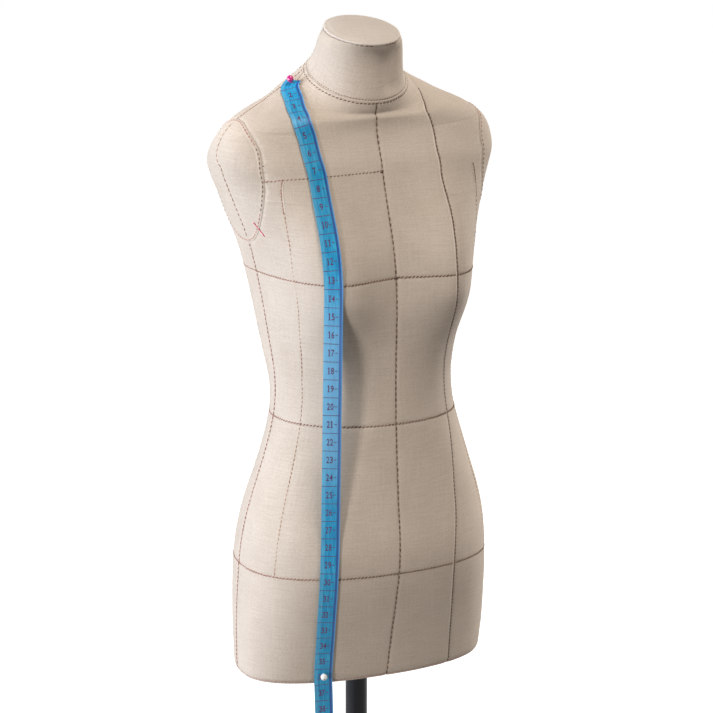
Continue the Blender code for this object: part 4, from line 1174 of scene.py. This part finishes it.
def text_shape(body_text, height, bold):
    c = bpy.data.curves.new("num", "FONT")
    c.body = body_text
    c.size = height / 0.72
    c.offset = bold
    c.resolution_u = 3
    c.align_x = "CENTER"
    o = bpy.data.objects.new("num", c)
    bpy.context.scene.collection.objects.link(o)
    bpy.context.view_layer.update()
    me = bpy.data.meshes.new_from_object(o)
    v = np.array([q.co for q in me.vertices], float).reshape(-1, 3)
    f = [list(p.vertices) for p in me.polygons]
    bpy.data.objects.remove(o)
    bpy.data.curves.remove(c)
    bpy.data.meshes.remove(me)
    return v, f


V, F, count = [], [], 0
glyphs = {}
one_v = np.array([(-0.27, -1.95, 0), (0.27, -1.95, 0), (0.27, 1.95, 0), (-0.27, 1.95, 0),
                  (-0.72, -1.95, 0), (0.72, -1.95, 0), (0.72, -1.62, 0), (-0.72, -1.62, 0),
                  (-0.27, 1.95, 0), (-0.72, 1.45, 0), (-0.72, 1.15, 0), (-0.27, 1.35, 0)], float)
for ch in "0123456789":
    v, f = text_shape(ch, 5.2, 0.10)
    v = v - np.array([0.5 * (v[:, 0].min() + v[:, 0].max()), 0.5 * (v[:, 1].min() + v[:, 1].max()), 0])
    # scale each figure to an upright printed size; only the 1, set below, has a foot bar and a flag
    w = v[:, 0].max() - v[:, 0].min()
    v = v * np.array([(1.0 if ch == "1" else 1.62) / w, 3.9 / (v[:, 1].max() - v[:, 1].min()), 1])
    glyphs[ch] = (v, f)
glyphs["1"] = (one_v, [[0, 1, 2, 3], [4, 5, 6, 7], [8, 9, 10, 11]])
for c in range(2, int(TAPE_L / CELL) + 1):
    mid_v = FIRST + (c - 0.5) * CELL
    if mid_v > TAPE_L - 5:
        break
    word = str(c)
    for i, ch in enumerate(word):
        v, f = glyphs[ch]
        off = 0.0 if len(word) == 1 else (i - 0.5) * 1.95
        gx = v[:, 0] * (1.15 if len(word) == 1 else 1.0) + off - 1.1
        gy = v[:, 1]
        P = tape_point(SIGN * gx, mid_v - gy, PRINT_UP)
        V.append(P)
        F.extend([[a + count for a in q] for q in f])
        count += len(P)
numbers = mesh("tape_numbers", np.concatenate(V), F, INK, smooth=False)
numbers.data.validate()
thk = numbers.modifiers.new("ink", "SOLIDIFY")
thk.thickness, thk.offset = 0.03 * MM, 0.0
done(numbers, "torso", "tape")


# =============================================================================
# pins
# =============================================================================
def pin(word, curve, at, lean, mat, core=None):
    q = curve(np.array([at]))
    n = body_normal(q[:, 0], q[:, 1])[0]
    d = unit(n + np.array(lean))
    foot = body(q[:, 0], q[:, 1])[0] + n * (TAPE_LIFT + TAPE_T)
    rot = np.array(Vector(d).to_track_quat("Z", "Y").to_matrix())
    R, lift = 1.95, 2.55
    prof = [(0, lift - R)] + [(R * math.sin(math.pi * k / 24), lift - R * math.cos(math.pi * k / 24))
                              for k in range(1, 24)] + [(0, lift + R)]
    head = lathe(word + "_ball", prof, mat, 48)
    collar = lathe(word + "_collar", rounded([(0.36, 0.15), (0.75, 0.2), (0.85, 0.75), (0.36, 0.9)], 0.12, 3,
                                             True), mat, 32, closed=True)
    shaft = lathe(word + "_needle", [(0, -24), (0.12, -22.5), (0.35, -20), (0.35, 1.0), (0, 1.0)], STEEL, 20)
    made = [head, collar, shaft]
    if core:
        made.append(lathe(word + "_core", [(0, lift + R + 0.06), (0.38, lift + R + 0.03),
                                           (0.5, lift + R - 0.12), (0, lift + R - 0.3)], core, 24))
    for o in made:
        v = np.zeros(len(o.data.vertices) * 3)
        o.data.vertices.foreach_get("co", v)
        v = v.reshape(-1, 3) @ rot.T + foot * MM
        o.data.vertices.foreach_set("co", v.ravel())
        o.data.update()
    return made


pins = []
for word, curve, at, lean, mat, core, slot in (
        ("shoulder_pin", upper, 0.35, (0.10, 0.10, 0.0), PINK_BEAD, None, "pink_bead"),
        ("hem_pin", lower, len(TAPE_LOWER) - 1.80, (0.0, 0.0, -0.3), WHITE_BEAD, BEAD_CORE, "white_bead")):
    made = pin(word, curve, at, lean, mat, core)
    done(made[0], "torso", slot, word + "_head")
    done(made[1], "torso", slot)
    done(made[2], "torso", "steel", word + "_shaft")
    for o in made[3:]:
        done(o, "torso", slot)
    pins += made

# =============================================================================
# stand, pole and socket
# =============================================================================
plate = lathe("round_base", rounded([(0, 3.0), (119.0, 3.0), (120.0, 4.0), (120.0, 7.4), (118.4, 9.0),
                                     (0, 9.0)], 1.4, 6), BLACK, 240)
done(plate, "stand", "black_paint", "base_plate")
pad = lathe("rubber_ring", rounded([(104, 0.15), (104, 2.7), (116, 2.7), (116, 0.15), (114.5, 0), (105.5, 0)],
                                   0.5, 3, True), RUBBER, 200, closed=True)
done(pad, "stand", "rubber", "base_pad")
hub = lathe("base_hub_cast", rounded([(9.8, 9.3), (31.4, 9.3), (32, 9.9), (32, 12.3), (31, 13.3), (19, 13.3),
                                      (16.4, 14.2), (15.2, 16.5), (13.9, 42.0), (12.4, 44.0), (9.8, 44.0)],
                                     0.8, 5, True), BLACK, 128, closed=True)
done(hub, "stand", "black_paint", "base_hub")


def hex_screw(name, x, y, z0, head_z, r, hr, hh, upward=True):
    """A button-head screw with a six-sided socket."""
    seg = 48
    up = 1 if upward else -1
    prof = [(0, z0), (r * 0.7, z0), (r, z0 + 0.6 * up), (r, head_z), (hr * 0.97, head_z),
            (hr, head_z + 0.25 * up), (hr, head_z + hh * 0.3 * up), (hr * 0.93, head_z + hh * 0.62 * up),
            (hr * 0.78, head_z + hh * 0.86 * up), (hr * 0.58, head_z + hh * up)]
    ang = np.arange(seg) * 2 * math.pi / seg
    verts, faces, rings = [], [], []
    for rr, h in prof:
        if rr < 1e-6:
            rings.append([len(verts)])
            verts.append((x, y, h))
        else:
            rings.append(list(range(len(verts), len(verts) + seg)))
            verts += [(x + rr * math.cos(a), y + rr * math.sin(a), h) for a in ang]
    hexr = hr * 0.42 / np.cos((ang % (math.pi / 3)) - math.pi / 6)
    for h, k in ((head_z + hh * up, 1.0), (head_z + hh * 0.42 * up, 1.0)):
        rings.append(list(range(len(verts), len(verts) + seg)))
        verts += [(x + q * k * math.cos(a), y + q * k * math.sin(a), h) for q, a in zip(hexr, ang)]
    rings.append([len(verts)])
    verts.append((x, y, head_z + hh * 0.36 * up))
    for a, b in zip(rings, rings[1:]):
        for i in range(seg):
            j = (i + 1) % seg
            loop = [a[i % len(a)], a[j % len(a)], b[j % len(b)], b[i % len(b)]]
            keep = []
            for v in loop:
                if v not in keep:
                    keep.append(v)
            if len(keep) > 2:
                faces.append(keep)
    ob = mesh(name, verts, faces, STEEL, sharp=32)
    fix_normals(ob)
    return ob


for k in range(4):
    a = math.radians(45 + 90 * k)
    done(hex_screw("hub_bolt_%d" % (k + 1), 24 * math.cos(a), 24 * math.sin(a), 3.6, 13.6, 2.5, 4.6, 2.5),
         "stand", "steel", "hub_screw_%d" % (k + 1))
tube = lathe("stand_tube", rounded([(8.0, 9.4), (9.5, 9.4), (9.5, 250.0), (8.0, 250.0)], 0.3, 3, True), BLACK, 96,
             closed=True)
done(tube, "stand", "black_paint", "lower_tube")
bush = lathe("tube_bush_moulded", rounded([(6.7, 215), (7.7, 215), (7.7, 250.3), (9.5, 250.3), (9.5, 252.3),
                                           (6.7, 252.3)], 0.3, 3, True), NYLON, 96, closed=True)
done(bush, "stand", "nylon", "tube_bush")


def collar_mesh():
    ob = lathe("height_collar", rounded([(9.8, 228), (15, 228), (16, 229), (16, 262.5), (14.5, 264), (6.7, 264),
                                         (6.7, 252.6), (9.8, 252.6)], 0.7, 5, True), BLACK, 128, closed=True)
    boss = lathe("height_collar_boss", rounded([(3.4, 13.0), (5.5, 13.0), (5.5, 19.0), (4.7, 20.0),
                                                (3.4, 20.0)], 0.5, 4, True), BLACK, 64, axis="X",
                 at=(0, 0, 258.0), closed=True)
    return ob, boss


collar, boss = collar_mesh()
done(collar, "stand", "black_paint", "clamp_collar")
done(boss, "stand", "black_paint")
# fillet ring where the boss leaves the collar
fil = lathe("height_collar_fillet", rounded([(5.0, 12.5), (7.4, 14.6), (5.9, 15.9), (5.3, 17.2), (5.0, 17.2)], 0.5, 4,
                                            True), BLACK, 64, axis="X", at=(0, 0, 258.0), closed=True)
done(fil, "stand", "black_paint")


def lobes(amount):
    return lambda a, h: 1.0 + amount(h) * np.cos(6 * a)


knob_amount = lambda h: 0.085 * float(ease(np.array((h - 25.0) / 1.2)))
prof = [(3.4, 22.5)] + [(6.0, 22.5), (6.3, 23.0), (6.4, 24.9), (7.2, 25.4), (9.6, 25.9), (10.5, 26.6),
                        (10.9, 27.6), (10.95, 29.0), (10.95, 31.4), (10.85, 32.2), (10.4, 33.1), (9.6, 33.8),
                        (8.4, 34.2), (6.6, 34.45), (5.0, 34.5), (4.6, 34.1), (4.4, 33.7), (0, 33.6)]
knob = lathe("six_lobe_knob", [(3.4, 31.0)] + prof, NYLON, 144, axis="X", at=(0, 0, 258.0), sharp=50,
             wave=lobes(knob_amount))
done(knob, "knob", "nylon", "clamp_knob")
pts = [(0, 6.85), (2.4, 6.85), (3.0, 7.5)]
for i in range(30):
    x = 8.0 + i * 0.75
    if x > 30:
        break
    pts += [(3.0, x), (2.62, x + 0.375)]
pts += [(3.0, 30.6), (2.6, 31.0), (0, 31.0)]
screw = lathe("clamp_screw_threaded", pts, STEEL, 48, axis="X", at=(0, 0, 258.0), sharp=30)
done(screw, "knob", "steel", "clamp_screw")

pole = lathe("sliding_pole", rounded([(5.15, 130), (6.35, 130), (6.35, 632), (5.15, 632)], 0.3, 3, True),
             BLACK, 96, closed=True)
done(pole, "pole", "black_paint", "upper_pole")
plug = lathe("pole_foot_plug", rounded([(0, 122), (6.7, 122), (7.6, 123), (7.6, 129.7), (4.85, 129.7),
                                        (4.85, 142), (0, 142)], 0.4, 3), NYLON, 72)
done(plug, "pole", "nylon", "pole_bottom_plug")
plug = lathe("pole_top_plug", rounded([(0, 618), (4.85, 618), (4.85, 632.3), (6.35, 632.3), (6.35, 635.4),
                                       (4.15, 637.4), (0, 638.0)], 0.4, 3), NYLON, 72)
done(plug, "pole", "nylon", "pole_thrust_plug")
sock = lathe("socket_sleeve", rounded([(6.75, 347.4), (8.0, 347.4), (8.0, 638.3), (6.75, 638.3)], 0.3, 3, True),
             STEEL, 96, closed=True)
done(sock, "torso", "steel", "socket_tube")
fl = lathe("socket_flange_plate", rounded([(8.3, 347.4), (27.2, 347.4), (28, 348.2), (28, 349.9), (8.3, 349.9)],
                                          0.5, 4, True), BLACK, 128, closed=True)
done(fl, "torso", "black_paint", "socket_flange")
for k in range(4):
    a = math.radians(90 * k)
    done(hex_screw("flange_bolt_%d" % (k + 1), 20 * math.cos(a), 20 * math.sin(a), 358.0, 347.1, 1.75, 3.6, 1.7,
                   upward=False), "torso", "steel", "flange_screw_%d" % (k + 1))

# CAD nodes that stay as they are, inside the form
for name, mat, slot in (("foam_core", FOAM, "foam"), ("neck_board", WOOD, "plywood"),
                        ("bottom_board", WOOD, "plywood"), ("socket_cap", STEEL, "steel")):
    ob = nodes[name]
    ob.data.materials.clear()
    ob.data.materials.append(mat)

# =============================================================================
# stage: floor, backdrop, light and camera
# =============================================================================
m = Mat("pale_floor", srgb(186, 184, 181), 0.85)
floor_n = m.noise(m.mapping(m.obj(), (3, 3, 3)), 1.0, 3)
m.link(m.ramp(floor_n, [(0.3, srgb(182, 180, 177)), (0.7, srgb(188, 186, 184))]), "Base Color")
m.b.inputs["Emission Color"].default_value = (1, 1, 1, 1)
m.b.inputs["Emission Strength"].default_value = 0.90
m.b.inputs["Specular IOR Level"].default_value = 0.1
bpy.ops.mesh.primitive_circle_add(vertices=96, radius=6.5, fill_type="NGON", location=(0, 0, -0.0004))
floor = bpy.context.object
floor.name = "floor"
floor.data.materials.append(m.m)
floor.visible_diffuse = False

back_m = bpy.data.materials.new("white_backdrop")
back_m.use_nodes = True
nt = back_m.node_tree
nt.nodes.clear()
em = nt.nodes.new("ShaderNodeEmission")
em.inputs[0].default_value = (1, 1, 1, 1)
em.inputs[1].default_value = 1.02
o = nt.nodes.new("ShaderNodeOutputMaterial")
nt.links.new(em.outputs[0], o.inputs[0])
bpy.ops.mesh.primitive_uv_sphere_add(segments=64, ring_count=32, radius=6.4, location=(0, 0, 0))
dome = bpy.context.object
dome.name = "backdrop"
dome.data.materials.append(back_m)
dome.data.flip_normals()
for attr in ("visible_diffuse", "visible_glossy", "visible_transmission", "visible_volume_scatter",
             "visible_shadow"):
    setattr(dome, attr, False)

world = bpy.data.worlds.new("studio")
bpy.context.scene.world = world
world.use_nodes = True
bg = world.node_tree.nodes["Background"]
bg.inputs[0].default_value = (1.0, 0.985, 0.965, 1)
bg.inputs[1].default_value = 0.18


def area(name, at, aim, sx, sy, power, colour=(1, 1, 1)):
    d = bpy.data.lights.new(name, "AREA")
    d.shape = "RECTANGLE"
    d.size, d.size_y, d.energy, d.color = sx, sy, power, colour
    ob = bpy.data.objects.new(name, d)
    bpy.context.scene.collection.objects.link(ob)
    ob.location = at
    ob.rotation_mode = "QUATERNION"
    ob.rotation_quaternion = (Vector(aim) - Vector(at)).to_track_quat("-Z", "Y")
    return ob


mid = (0, 0, 0.55)
area("key", (-2.2, 0.66, 0.80), mid, 0.9, 1.3, 72, (0.72, 0.83, 1.0))
area("front_left", (-2.12, -1.0, 0.44), (0, 0, 0.47), 0.42, 0.55, 24, (0.95, 0.97, 1.0))
area("top_front", (0.25, -0.80, 2.85), (0, 0, 0.6), 0.9, 0.9, 43, (1.0, 0.975, 0.94))
area("rim_right", (2.0, 0.62, 0.5), (0, 0, 0.45), 0.9, 1.3, 33, (0.98, 0.985, 1.0))
low = area("low_fill", (0.9, -1.6, 0.30), (0.02, 0, 0.345), 0.5, 0.3, 0.06, (1.0, 0.975, 0.94))
low.data.spread = math.radians(14)

psi = math.radians(25.76)
cam_d = bpy.data.cameras.new("camera")
cam_d.sensor_width = 36.0
cam_d.lens = 3194.8 / 713 * 36.0
cam_d.clip_start, cam_d.clip_end = 0.05, 40
cam = bpy.data.objects.new("camera", cam_d)
bpy.context.scene.collection.objects.link(cam)
cam.location = (-0.76935, -1.59457, 0.9597)
cam.rotation_mode = "QUATERNION"
cam.rotation_quaternion = (Vector((-0.00081, -0.00191, 0.5291)) - cam.location).to_track_quat("-Z", "Y")
bpy.context.scene.camera = cam
vs = bpy.context.scene.view_settings
vs.view_transform = "Standard"
vs.look = "None"
vs.exposure = 0.0
vs.gamma = 1.0
